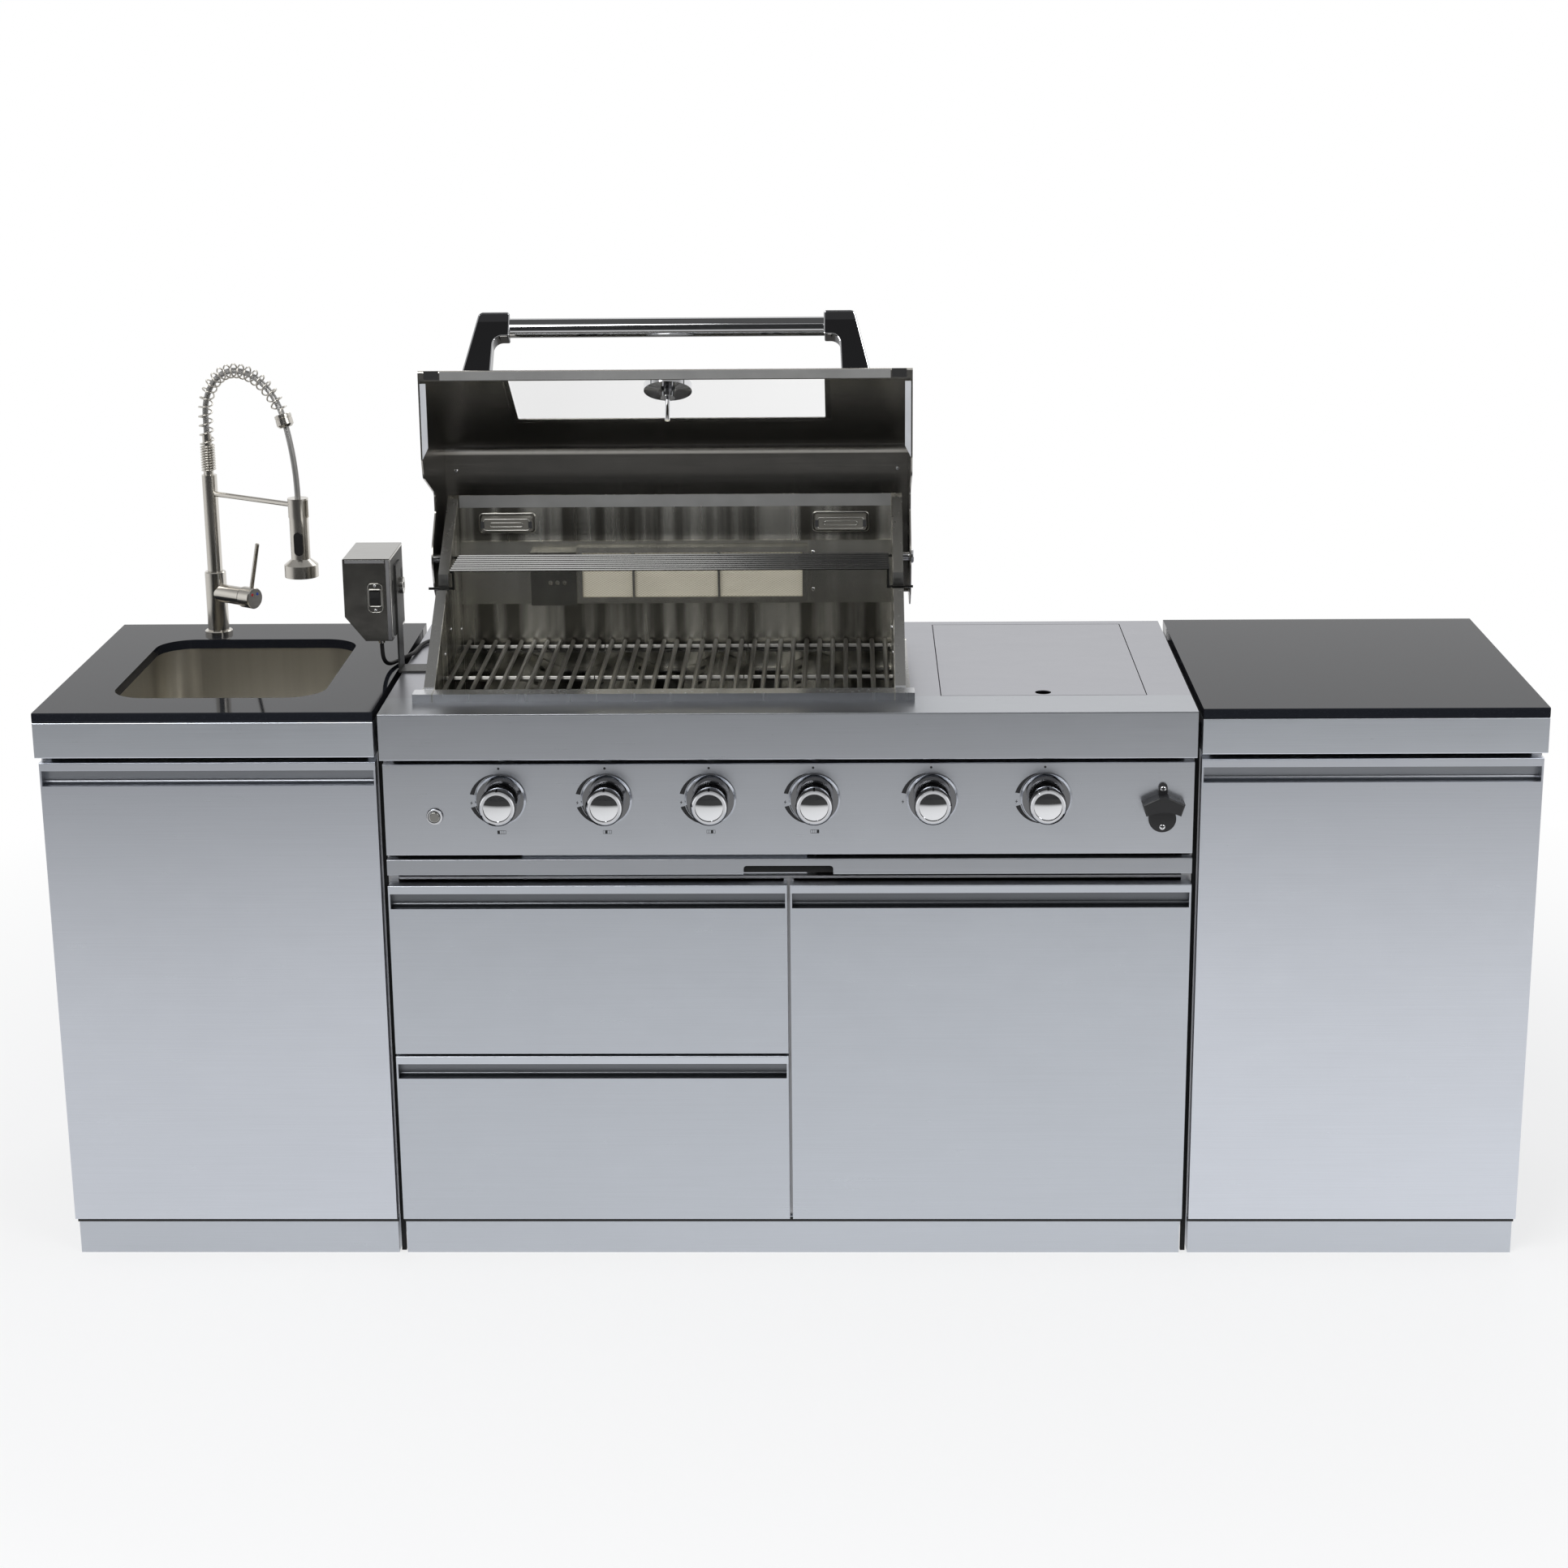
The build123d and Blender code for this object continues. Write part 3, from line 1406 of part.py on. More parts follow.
save(tap_body, "tap_body")

with BuildPart() as tap_lever:
    with BuildSketch(boss_plane.offset(boss_reach + free_gap)):
        Circle(cap_radius)
    extrude(amount=cap_length)
    chamfer(tap_lever.edges().filter_by(GeomType.CIRCLE), edge_round)
    with BuildSketch(boss_plane.offset(boss_reach + free_gap)):
        Circle(lever_pin + running)
    extrude(amount=lever_pin_length, mode=Mode.SUBTRACT)
    rod_foot = tap_plane.from_local_coords((boss_reach + lever_foot, boss_z + cap_radius / 2, 0))
    rod_way = arm_way * lever_lean + Vector(0, 0, lever_rise)
    with BuildSketch(Plane(rod_foot, x_dir=arm_way.cross(Vector(0, 0, 1)), z_dir=rod_way)):
        Circle(lever_radius)
    extrude(amount=rod_way.length)
    chamfer(tap_lever.edges().group_by(Axis.Z)[-1], lever_radius / 2)
save(tap_lever, "tap_lever")

with BuildPart() as tap_column:
    with BuildSketch(tap_plane):
        with BuildLine():
            Polyline(
                (tap_pin + running, tap_body_top + free_gap),
                (tap_column_radius, tap_body_top + free_gap),
                (tap_column_radius, tap_column_top),
                (guide_radius, tap_column_top),
                (guide_radius, guide_top),
                (0, guide_top),
                (0, tap_body_top + tap_pin_length + free_gap),
                (tap_pin + running, tap_body_top + tap_pin_length + free_gap),
                close=True,
            )
        make_face()
    revolve(axis=Axis(tap_foot, (0, 0, 1)))
    with BuildSketch(Plane((tap_x, front + tap_y, arm_z), x_dir=(0, 0, 1), z_dir=arm_way)):
        Circle(arm_radius)
    extrude(amount=dock_reach - spray_neck - free_gap - 1)
    with BuildSketch(Plane((dock_point.X, dock_point.Y, dock_bottom), x_dir=arm_way, z_dir=(0, 0, 1))):
        Circle(dock_radius)
        Circle(spray_neck + free_gap, mode=Mode.SUBTRACT)
        with Locations((dock_radius, 0)):
            Rectangle(dock_radius, dock_mouth, mode=Mode.SUBTRACT)
    extrude(amount=dock_height)
save(tap_column, "tap_column")


def biarcs(stations):
    for (p0, t0), (p1, t1) in zip(stations, stations[1:]):
        v = p1 - p0
        b = v.dot(t0 + t1)
        a = 2 * (1 - t0.dot(t1))
        if a < 1e-9:
            Line(p0, p1)
            continue
        d = (math.sqrt(b * b + a * v.dot(v)) - b) / a
        mid = (p0 + p1 + (t0 - t1) * d) / 2
        TangentArc(p0, mid, tangent=t0)
        TangentArc(mid, p1, tangent=(p1 - t1 * d) - (p0 + t0 * d))


def least_gap(path, radius):
    count = int(path.length / radius / 1.5)
    step = path.length / count
    points = [tuple(path.position_at(i / count)) for i in range(count + 1)]
    skip = int(4 * radius / step) + 2
    near = min(math.dist(p, q) for i, p in enumerate(points) for q in points[i + skip:])
    return near - 2 * radius


# Centre line of the arch, by its length above the column
def arch(s):
    rise = arch_start - tap_column_top
    shoulder = shoulder_radius * math.pi / 2
    if s <= rise:
        return 0, tap_column_top + s, 0
    if s <= rise + shoulder:
        bend = (s - rise) / shoulder_radius
        return (
            shoulder_radius * (1 - math.cos(bend)),
            arch_start + shoulder_radius * math.sin(bend),
            bend,
        )
    bend = (s - rise - shoulder) / crown_radius
    return (
        shoulder_radius + crown_radius * math.sin(bend),
        crown_top - crown_radius * (1 - math.cos(bend)),
        bend + math.pi / 2,
    )


crown_end = arch_start - tap_column_top + shoulder_radius * math.pi / 2 + crown_radius * crown_turn
spring_length = crown_end - collar_height / 2

with BuildPart() as tap_hose:
    with BuildLine(tap_plane) as hose_path:
        rise = Line((0, guide_top), (0, arch_start))
        shoulder = JernArc(rise @ 1, rise % 1, shoulder_radius, -90)
        crown = JernArc(shoulder @ 1, shoulder % 1, crown_radius, -crown_angle)
        JernArc(crown @ 1, crown % 1, fall_radius, crown_angle - 90)
    with BuildSketch(Plane((tap_x, front + tap_y, guide_top), x_dir=arm_way, z_dir=(0, 0, 1))):
        Circle(hose_radius)
    sweep()
    with BuildSketch(Plane(crown @ 1, z_dir=crown % 1).offset(-collar_height / 2)):
        Circle(collar_radius)
        Circle(hose_radius + free_gap, mode=Mode.SUBTRACT)
    extrude(amount=collar_height)
save(tap_hose, "tap_hose")


def wire_point(s, phase):
    reach, height, bend = arch(s)
    out = -math.cos(phase) * spring_radius
    side = math.sin(phase) * spring_radius
    return tap_plane.from_local_coords((reach + out * math.cos(bend), height - out * math.sin(bend), side))


def turn_length(phase):
    tight = 2 * math.pi * tight_turns
    start = 2 * spring_wire + spring_bend
    if phase <= tight:
        return start + tight_pitch * phase / 2 / math.pi
    left = spring_length - 2 * start - tight_pitch * tight_turns
    return start + tight_pitch * tight_turns + left * (phase - tight) / (2 * math.pi * open_turns)


def wire_way(phase):
    turned = phase + bend_phase
    after = wire_point(turn_length(phase + 0.01), turned + 0.01)
    return (after - wire_point(turn_length(phase - 0.01), turned - 0.01)).normalized()


bend_phase = spring_bend / spring_radius
last_phase = 2 * math.pi * (tight_turns + open_turns)
last_bend = arch(spring_length)[2]
last_way = (tap_plane.x_dir * math.sin(last_bend) + tap_plane.y_dir * math.cos(last_bend)).normalized()
end_turn = last_phase + 2 * bend_phase
stations = [(wire_point(0, 0), Vector(0, 0, 1)), (wire_point(2 * spring_wire, 0), Vector(0, 0, 1))]
for i in range(2 * (tight_turns + open_turns) + 1):
    phase = i * math.pi
    stations.append((wire_point(turn_length(phase), phase + bend_phase), wire_way(phase)))
wire_end = wire_point(spring_length, end_turn)
stations.append((wire_end - last_way * (2 * spring_wire), last_way))
stations.append((wire_end, last_way))

with BuildPart() as tap_spring:
    with BuildLine() as spring_path:
        biarcs(stations)
    with BuildSketch(Plane(stations[0][0], x_dir=arm_way, z_dir=(0, 0, 1))):
        RegularPolygon(spring_wire, rod_sides)
    sweep(clean=False)
save(tap_spring, "tap_spring")
print("spring gap", round(least_gap(spring_path.wires()[0], spring_wire), 2))

with BuildPart() as tap_spray_head:
    with BuildSketch(Plane(dock_point, x_dir=(1, 0, 0), z_dir=(0, -1, 0))):
        with BuildLine():
            Polyline(
                (0, nozzle_bottom),
                (nozzle_radius, nozzle_bottom),
                (nozzle_radius, nozzle_top),
                (spray_radius, spray_shoulder),
                (spray_radius, dock_bottom - free_gap),
                (spray_neck, dock_bottom - free_gap),
                (spray_neck, dock_top),
                (dock_radius, dock_top),
                (dock_radius, head_top),
                (0, head_top),
                close=True,
            )
        make_face()
    revolve(axis=Axis(dock_point, (0, 0, 1)))
    toggle_back = toggle_thick - toggle_proud
    toggle_rock = toggle_height / 2 * math.sin(math.radians(toggle_swing))
    toggle_face = Plane(
        (dock_point.X, dock_point.Y - spray_radius, toggle_z),
        x_dir=(1, 0, 0),
        z_dir=(0, -1, 0),
    )
    with BuildSketch(toggle_face.offset(-toggle_back - toggle_rock - free_gap)):
        SlotOverall(toggle_height + 2 * seat_gap, toggle_width + 2 * seat_gap, rotation=90)
    extrude(amount=spray_radius, mode=Mode.SUBTRACT)
save(tap_spray_head, "tap_spray_head")

with BuildPart() as tap_spray_toggle:
    with BuildSketch(toggle_face.offset(-toggle_back)):
        SlotOverall(toggle_height, toggle_width, rotation=90)
    extrude(amount=toggle_thick)
save(tap_spray_toggle, "tap_spray_toggle")

# Motor cord, from its gland along the deck to a coil behind the firebox
cord_z = deck_height + cord_radius + cord_lift
coil_outer = coil_inner + coil_step * coil_turns
cord_end = (coil_x - 2 * cord_radius, coil_y - coil_outer, cord_z)
cord_points = [
    (gland_x, gland_y, motor_bottom - gland_length),
    (gland_x, gland_y, 977),
    (-676, 277, 961),
    (-672, 300, 952.5),
    (-664, 330, 950.2),
    (-654, 362, 950.6),
    (-647, 396, 947),
    (-645, 430, cord_z),
    (-643, 466, cord_z),
    (-634, 496, cord_z),
    (-612, 514, cord_z),
    (-584, 520, cord_z),
    (-552, 521, cord_z),
    (-514, cord_end[1], cord_z),
    cord_end,
]
route = [Vector(x, front + y, z) for x, y, z in cord_points]
bends = []
for a, b, c in zip(route, route[1:], route[2:]):
    shorter = min((b - a).length, (c - b).length)
    bends.append(0.45 * shorter / math.tan(math.radians((b - a).get_angle(c - b) / 2)))
print("cord radii", [round(bend) for bend in bends])

with BuildPart() as cord_run:
    with BuildLine() as cord_path:
        FilletPolyline(*route, radius=bends)
    with BuildSketch(Plane(route[0], x_dir=(1, 0, 0), z_dir=route[1] - route[0])):
        RegularPolygon(cord_radius, rod_sides)
    sweep(clean=False)
save(cord_run, "cord_run")
cord_length = cord_path.wires()[0].length
cord_solid = 1.5 * math.sqrt(3) * cord_radius**2 * cord_length
print("cord length", round(cord_length), "volume share", round(cord_run.part.volume / cord_solid, 4))


# Centre line of the coil: in on the deck, up a layer, and out again
def coil_point(turn):
    half_turn = coil_turns + 0.5
    radius = coil_inner + coil_step * max(coil_turns - turn, turn - half_turn, 0)
    climb = min(max((turn - coil_turns) * 2, 0), 1)
    lift = coil_layer * (1 - math.cos(math.pi * climb)) / 2
    angle = 2 * math.pi * (turn - 0.25)
    return Vector(
        coil_x + radius * math.cos(angle),
        front + coil_y + radius * math.sin(angle),
        cord_z + lift,
    )


loops = [
    (Vector(cord_end[0], front + cord_end[1], cord_z), Vector(1, 0, 0)),
    (coil_point(0), Vector(1, 0, 0)),
]
quarters = 4 * (2 * coil_turns) + 2
for i in range(1, quarters):
    way = coil_point(i / 4 + 0.01) - coil_point(i / 4 - 0.01)
    loops.append((coil_point(i / 4), way.normalized()))
coil_last = coil_point(quarters / 4)
plug_start = coil_last - Vector(coil_tail, 0, 0)
loops.append((coil_last, Vector(-1, 0, 0)))
loops.append((plug_start, Vector(-1, 0, 0)))

with BuildPart() as cord_coil:
    with BuildLine() as coil_path:
        biarcs(loops)
    with BuildSketch(Plane(loops[0][0], x_dir=(0, 1, 0), z_dir=(1, 0, 0))):
        RegularPolygon(cord_radius, rod_sides)
    sweep(clean=False)
save(cord_coil, "cord_coil")
print("coil gap", round(least_gap(coil_path.wires()[0], cord_radius), 2))
print("coil length", round(coil_path.wires()[0].length))

with BuildPart() as cord_plug:
    plug_half = plug_start.Z - deck_height - free_gap
    with BuildSketch(Plane(plug_start, x_dir=(0, 1, 0), z_dir=(-1, 0, 0))):
        RectangleRounded(plug_width, 2 * plug_half, plug_half / 2)
    extrude(amount=plug_length)
    with BuildSketch(Plane(plug_start, x_dir=(0, 1, 0), z_dir=(-1, 0, 0)).offset(plug_length)):
        with Locations((-pin_pitch / 2, 0), (pin_pitch / 2, 0)):
            Circle(pin_radius)
    extrude(amount=pin_length)
save(cord_plug, "cord_plug")
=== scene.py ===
import bpy
import math
import numpy as np
from mathutils import Matrix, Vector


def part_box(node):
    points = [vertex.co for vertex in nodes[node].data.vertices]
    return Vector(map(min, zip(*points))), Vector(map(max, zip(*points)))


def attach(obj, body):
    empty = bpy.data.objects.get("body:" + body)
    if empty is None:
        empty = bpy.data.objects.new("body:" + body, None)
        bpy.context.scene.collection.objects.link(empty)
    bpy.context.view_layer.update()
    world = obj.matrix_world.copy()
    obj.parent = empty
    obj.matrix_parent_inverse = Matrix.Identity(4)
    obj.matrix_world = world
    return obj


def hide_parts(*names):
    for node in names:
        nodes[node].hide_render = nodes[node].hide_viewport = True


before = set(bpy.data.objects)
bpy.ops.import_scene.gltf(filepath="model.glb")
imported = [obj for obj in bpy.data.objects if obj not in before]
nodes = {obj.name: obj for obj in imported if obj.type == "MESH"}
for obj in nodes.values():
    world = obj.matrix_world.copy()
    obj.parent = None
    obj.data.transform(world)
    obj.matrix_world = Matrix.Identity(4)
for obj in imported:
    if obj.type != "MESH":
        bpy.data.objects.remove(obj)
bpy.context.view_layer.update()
print("frame loaded:", len(nodes), "nodes")

frontLine = -0.3055  # y of the front plane


def at(x, y, z):  # millimetres from the front plane to metres in the row frame
    return (x / 1000, y / 1000 + frontLine, z / 1000)


scene = bpy.context.scene
scene.view_settings.view_transform = "Standard"

camData = bpy.data.cameras.new("photoCamera")
camData.lens = 68.19
camData.sensor_width = 36
camData.sensor_fit = "HORIZONTAL"
camData.clip_end = 60
cam = bpy.data.objects.new("photoCamera", camData)
cam.matrix_world = Matrix((
    (0.99974, 0.0033, 0.02247, 0.10087),
    (0.0207, 0.27412, -0.96147, -4.84396),
    (-0.00933, 0.96169, 0.27398, 2.11917),
    (0, 0, 0, 1),
))
scene.collection.objects.link(cam)
scene.camera = cam


class Wire:  # a socket that takes part in sums
    def __init__(self, tree, socket=None):
        self.tree = tree
        self.socket = socket

    def node(self, kind, out=0, settings=None, **inputs):
        n = self.tree.nodes.new(kind)
        for key, value in (settings or {}).items():
            setattr(n, key, value)
        for key, value in inputs.items():
            name = key.replace("_", " ")
            numbered = name[0] == "i" and name[1:].isdigit()
            target = n.inputs[int(name[1:]) if numbered else name]
            if isinstance(value, Wire):
                self.tree.links.new(value.socket, target)
            else:
                target.default_value = value
        return Wire(self.tree, n.outputs[out])

    def sum(self, operation, other, swap=False):
        pair = (other, self) if swap else (self, other)
        return self.node("ShaderNodeMath", settings={"operation": operation}, i0=pair[0], i1=pair[1])

    def __add__(self, other):
        return self.sum("ADD", other)

    def __sub__(self, other):
        return self.sum("SUBTRACT", other)

    def __rsub__(self, other):
        return self.sum("SUBTRACT", other, True)

    def __mul__(self, other):
        return self.sum("MULTIPLY", other)

    def __lt__(self, other):
        return self.sum("LESS_THAN", other)

    def __gt__(self, other):
        return self.sum("GREATER_THAN", other)

    def fold(self):  # distance to the nearest whole number
        return self.sum("PINGPONG", 0.5)

    def blend(self, low, high):  # this value as the share of the second colour
        return self.node("ShaderNodeMix", out=2, settings={"data_type": "RGBA"}, Factor=self, i6=low, i7=high)

    def axes(self):  # the three numbers of a vector
        split = self.node("ShaderNodeSeparateXYZ", Vector=self).socket.node
        return [Wire(self.tree, split.outputs[axis]) for axis in "XYZ"]

    def ramp(self, low, high, start=0.0, end=1.0):  # from start to end while this value goes from low to high
        return self.node("ShaderNodeMapRange", Value=self, From_Min=low, From_Max=high, To_Min=start, To_Max=end)


def rgb(r, g, b):
    return (r, g, b, 1.0)


def finish(name, recipe, **constants):
    mat = bpy.data.materials.new(name)
    mat.use_nodes = True
    tree = mat.node_tree
    shader = tree.nodes["Principled BSDF"]
    for key, value in constants.items():
        shader.inputs[key.replace("_", " ")].default_value = value
    start = Wire(tree)
    for key, value in recipe(start).items():
        tree.links.new(value.socket, shader.inputs[key.replace("_", " ")])
    return mat


def place(w, scale):
    coords = w.node("ShaderNodeTexCoord", out="Object")
    return w.node("ShaderNodeMapping", Vector=coords, Scale=scale)


def noise(w, scale, detail=2.0, rough=0.5):
    return w.node("ShaderNodeTexNoise", Vector=place(w, scale), Scale=1.0, Detail=detail, Roughness=rough)


def bump(w, height, strength, distance):
    return w.node("ShaderNodeBump", Height=height, Strength=strength, Distance=distance)


# share of a surface inside a box, given in millimetres from the front plane
def within(w, spans):
    coords = dict(zip("XYZ", w.node("ShaderNodeTexCoord", out="Object").axes()))
    share = None
    for axis, (low, high) in spans.items():
        shift = frontLine if axis == "Y" else 0
        inside = (coords[axis] > low / 1000 + shift) * (coords[axis] < high / 1000 + shift)
        share = inside if share is None else share * inside
    return share


# a level times a factor inside each of some boxes: painted shade where the factor is below one, painted highlight
# where it is above one
def shaded(w, level, paintedLight):
    for spans, factor in paintedLight:
        level = level * (within(w, spans) * (factor - 1) + 1)
    return level


# brushed sheet: fine lines along one axis, slow clouds, a few scuffs, and boxes where shade and highlights are
# painted
def brushed(name, tone, rough, lines=(6, 700, 700), depth=0.00004, cloud=0.05, spread=0.08, paintedLight=()):
    def recipe(w):
        streak = noise(w, lines, 3.0, 0.6)
        slow = noise(w, (1.3, 1.7, 2.1), 2.0)
        scuff = noise(w, (14, 30, 30), 4.0, 0.7)
        level = shaded(w, slow * cloud + streak * cloud + (0.5 - cloud), paintedLight)
        return {
            "Base_Color": level.blend(rgb(0, 0, 0), rgb(*[2 * c for c in tone])),
            "Roughness": streak * spread + scuff * spread + (rough - spread),
            "Normal": bump(w, streak, 0.5, depth),
        }
    return finish(name, recipe, Metallic=1.0)


# polished metal: slow clouds in tone and gloss, a fine grain in the gloss, and boxes where shade and highlights are
# painted
def polished(name, tone, rough, cloud=0.04, paintedLight=()):
    def recipe(w):
        slow = noise(w, (9, 9, 9), 3.0)
        fine = noise(w, (260, 260, 260), 2.0)
        level = shaded(w, slow * cloud + (0.5 - cloud / 2), paintedLight)
        return {
            "Base_Color": level.blend(rgb(0, 0, 0), rgb(*[2 * c for c in tone])),
            "Roughness": slow * 0.05 + fine * 0.03 + (rough - 0.04),
        }
    return finish(name, recipe, Metallic=1.0)


fire = {"rear": {"Y": (492, 500)}, "left": {"X": (-573, -571)}, "right": {"X": (171, 173)},
        "sill": {"Y": (70, 118), "Z": (930, 957)}, "contrast": (0.38, 0.63)}


# mirror sheet round the fire: painted reflections as soft upright bands of light and dark on the walls, plain on the
# folded parts
def bandRecipe(w):
    wide = noise(w, (34, 34, 0.9), 1.0, 0.4)
    fine = noise(w, (120, 120, 3), 2.0)
    band = (wide * 0.85 + fine * 0.15).ramp(*fire["contrast"])
    wall = within(w, fire["rear"]) + within(w, fire["left"]) + within(w, fire["right"])
    # a plain level elsewhere, kept dim as painted shade on the folded flanges and lifted on the front sill as a
    # painted highlight
    plainTone = within(w, fire["sill"]).blend(rgb(0.36, 0.36, 0.35), rgb(0.62, 0.63, 0.65))
    paintedReflectionTone = band.blend(rgb(0.24, 0.23, 0.20), rgb(1.0, 0.98, 0.90))
    return {
        "Base_Color": wall.blend(plainTone, paintedReflectionTone),
        "Roughness": fine * 0.08 + 0.22,
        "Normal": bump(w, wide * wall, 0.3, 0.002),
    }


# painted shade in the hollows of the folded pulls and a painted highlight on their lips: top edge, left, right and
# shade factor of each front's hollow, and one highlight factor for all the lips
pulls = {"fronts": [(860, -1200, -657, 0.52), (860, 657, 1200, 0.52), (651.5, -650, 650, 0.32),
                    (358, -650, 0, 0.32)],
         "deep": (18.5, 38.5), "deepZ": (-39.6, -2.8), "lip": (14, 21), "lipZ": (-13.8, 1), "lipHighlight": 1.15}
pullShadeAndHighlight = []
for top, left, right, shade in pulls["fronts"]:
    hollowZ = tuple(top + z for z in pulls["deepZ"])
    lipZ = tuple(top + z for z in pulls["lipZ"])
    pullShadeAndHighlight.append(({"X": (left, right), "Y": pulls["deep"], "Z": hollowZ}, shade))
    pullShadeAndHighlight.append(({"X": (left, right), "Y": pulls["lip"], "Z": lipZ}, pulls["lipHighlight"]))
frontSteel = brushed("frontSteel", (0.685, 0.715, 0.775), 0.30, paintedLight=pullShadeAndHighlight)
grillSteel = brushed("grillSteel", (0.58, 0.61, 0.66), 0.30, paintedLight=pullShadeAndHighlight)
# painted light: the fascias given a lighter tone than the fronts
fasciaSteel = brushed("fasciaSteel", (0.76, 0.80, 0.86), 0.30)
# painted shade: the band at the grease tray darkened, and a thin dark line painted at 940 to 943 mm height
panelSteel = brushed("panelSteel", (0.62, 0.645, 0.69), 0.30,
                     paintedLight=[({"Z": (668, 696)}, 0.76), ({"Z": (940, 943)}, 0.6)])
deckSteel = brushed("deckSteel", (0.335, 0.34, 0.37), 0.30, lines=(5, 800, 800))
# painted highlight: a lighter band along the hood's lip
hoodSteel = brushed("hoodSteel", (0.44, 0.425, 0.395), 0.24, lines=(8, 500, 500), depth=0.00003,
                    paintedLight=[({"Y": (290, 294.8), "Z": (1426, 1449)}, 1.6)])
fireSteel = finish("fireSteel", bandRecipe, Metallic=1.0)
# painted shade: a thin dark line painted across the parts 468 to 469.6 mm back, framing the tile
burnerSteel = brushed("burnerSteel", (0.70, 0.685, 0.62), 0.24, lines=(30, 30, 1.5), depth=0.0004, cloud=0.3,
                      spread=0.04, paintedLight=[({"Y": (468, 469.6)}, 0.45)])
boxSteel = brushed("boxSteel", (0.50, 0.50, 0.51), 0.4)
bowlSteel = brushed("bowlSteel", (0.56, 0.54, 0.49), 0.30, lines=(60, 60, 3), depth=0.00001, cloud=0.10,
                    spread=0.03)
# painted shade: the top edge of the motor darkened
motorSteel = brushed("motorSteel", (0.58, 0.565, 0.525), 0.13, lines=(20, 20, 20), depth=0.0006, cloud=0.10,
                     paintedLight=[({"Z": (1144.2, 1146)}, 0.45)])
# painted shade: the low cross bars under the rods darkened
grateSteel = polished("grateSteel", (0.36, 0.355, 0.335), 0.30,
                      paintedLight=[({"Y": (100, 492), "Z": (925, 942.3)}, 0.3)])
# painted shade: the warming rack's wires given a very dark tone, so that only thin highlights show on them
rackSteel = polished("rackSteel", (0.085, 0.085, 0.083), 0.14)
chrome = polished("chrome", (0.70, 0.705, 0.72), 0.06)
# painted shade on rings of a knob and its bezel, from front to back, each with its darkening factor
rings = [((-33.3, -30.4), 0.10), ((-30.4, -19.4), 0.36), ((10.4, 11.3), 0.26), ((16.2, 19.9), 0.15)]
knobChrome = polished("knobChrome", (0.74, 0.75, 0.78), 0.06, paintedLight=[({"Y": span}, factor) for span, factor in rings])
# painted shade: two darker bands along the handle bar
barChrome = polished("barChrome", (0.62, 0.625, 0.64), 0.06,
                     paintedLight=[({"Z": (1509.5, 1520)}, 0.28), ({"Z": (1485, 1493)}, 0.4)])
mirrorChrome = polished("mirrorChrome", (0.84, 0.85, 0.87), 0.04, 0.02)
darkChrome = polished("darkChrome", (0.16, 0.16, 0.165), 0.12)
# painted highlight: the tops of the handle's brackets lifted eightfold in tone
blackChrome = polished("blackChrome", (0.035, 0.035, 0.037), 0.06, paintedLight=[({"Z": (1515, 1531)}, 8.0)])
nickel = polished("nickel", (0.60, 0.575, 0.53), 0.20, 0.02)


def stoneRecipe(w):
    grain = w.node("ShaderNodeTexVoronoi", Vector=place(w, (900, 900, 900)), Scale=1.0)
    fleck = noise(w, (420, 420, 420), 2.0, 0.6)
    slow = noise(w, (6, 6, 6), 3.0)
    mica = (fleck > 0.66) * 0.5 + grain * 0.25
    return {
        "Base_Color": mica.blend(rgb(0.008, 0.009, 0.012), rgb(0.028, 0.030, 0.036)),
        "Roughness": slow * 0.04 + fleck * 0.03 + 0.03,
        "Normal": bump(w, fleck, 0.05, 0.0001),
    }


stone = finish("blackStone", stoneRecipe, IOR=1.15)


def clearRecipe(w):
    haze = noise(w, (5, 9, 9), 3.0)
    return {"Roughness": haze * 0.06 + 0.01}


windowGlass = finish("windowGlass", clearRecipe, Base_Color=rgb(1, 1, 1), Transmission_Weight=1.0, IOR=1.06)


tileMesh = {"slope": 1.7, "perMetre": 150, "line": 0.09}


# burner tile: a pale diamond mesh on warm ceramic
def tileRecipe(w):
    x, y, z = place(w, (1, 1, 1)).axes()
    a = ((x + z * tileMesh["slope"]) * tileMesh["perMetre"]).fold()
    b = ((x - z * tileMesh["slope"]) * tileMesh["perMetre"]).fold()
    mesh = (a < tileMesh["line"]).sum("MAXIMUM", b < tileMesh["line"])
    soot = noise(w, (12, 12, 30), 3.0)
    warm = soot.blend(rgb(0.42, 0.38, 0.28), rgb(0.64, 0.59, 0.46))
    return {
        "Base_Color": mesh.blend(warm, rgb(0.80, 0.77, 0.67)),
        "Roughness": 0.85 - mesh * 0.4,
        "Normal": bump(w, mesh, 0.6, 0.001),
    }


tile = finish("burnerTile", tileRecipe)


# paint, plastic or rubber: a slow change of tone and a fine grain
def plain(name, tone, rough, grain=(300, 300, 300), depth=0.0001):
    def recipe(w):
        fine = noise(w, grain, 3.0)
        slow = noise(w, (20, 20, 20), 2.0)
        return {
            "Base_Color": slow.blend(rgb(*[c * 0.8 for c in tone]), rgb(*[c * 1.2 for c in tone])),
            "Roughness": fine * 0.12 + (rough - 0.06),
            "Normal": bump(w, fine, 0.25, depth),
        }
    return finish(name, recipe)


lampCover = plain("lampCover", (0.12, 0.115, 0.10), 0.45, (40, 40, 40), 0.0004)
rubber = plain("cordRubber", (0.012, 0.012, 0.012), 0.55)
blackPlastic = plain("blackPlastic", (0.010, 0.010, 0.010), 0.3)
castBlack = plain("castBlack", (0.014, 0.014, 0.015), 0.38, (700, 700, 700), 0.0003)
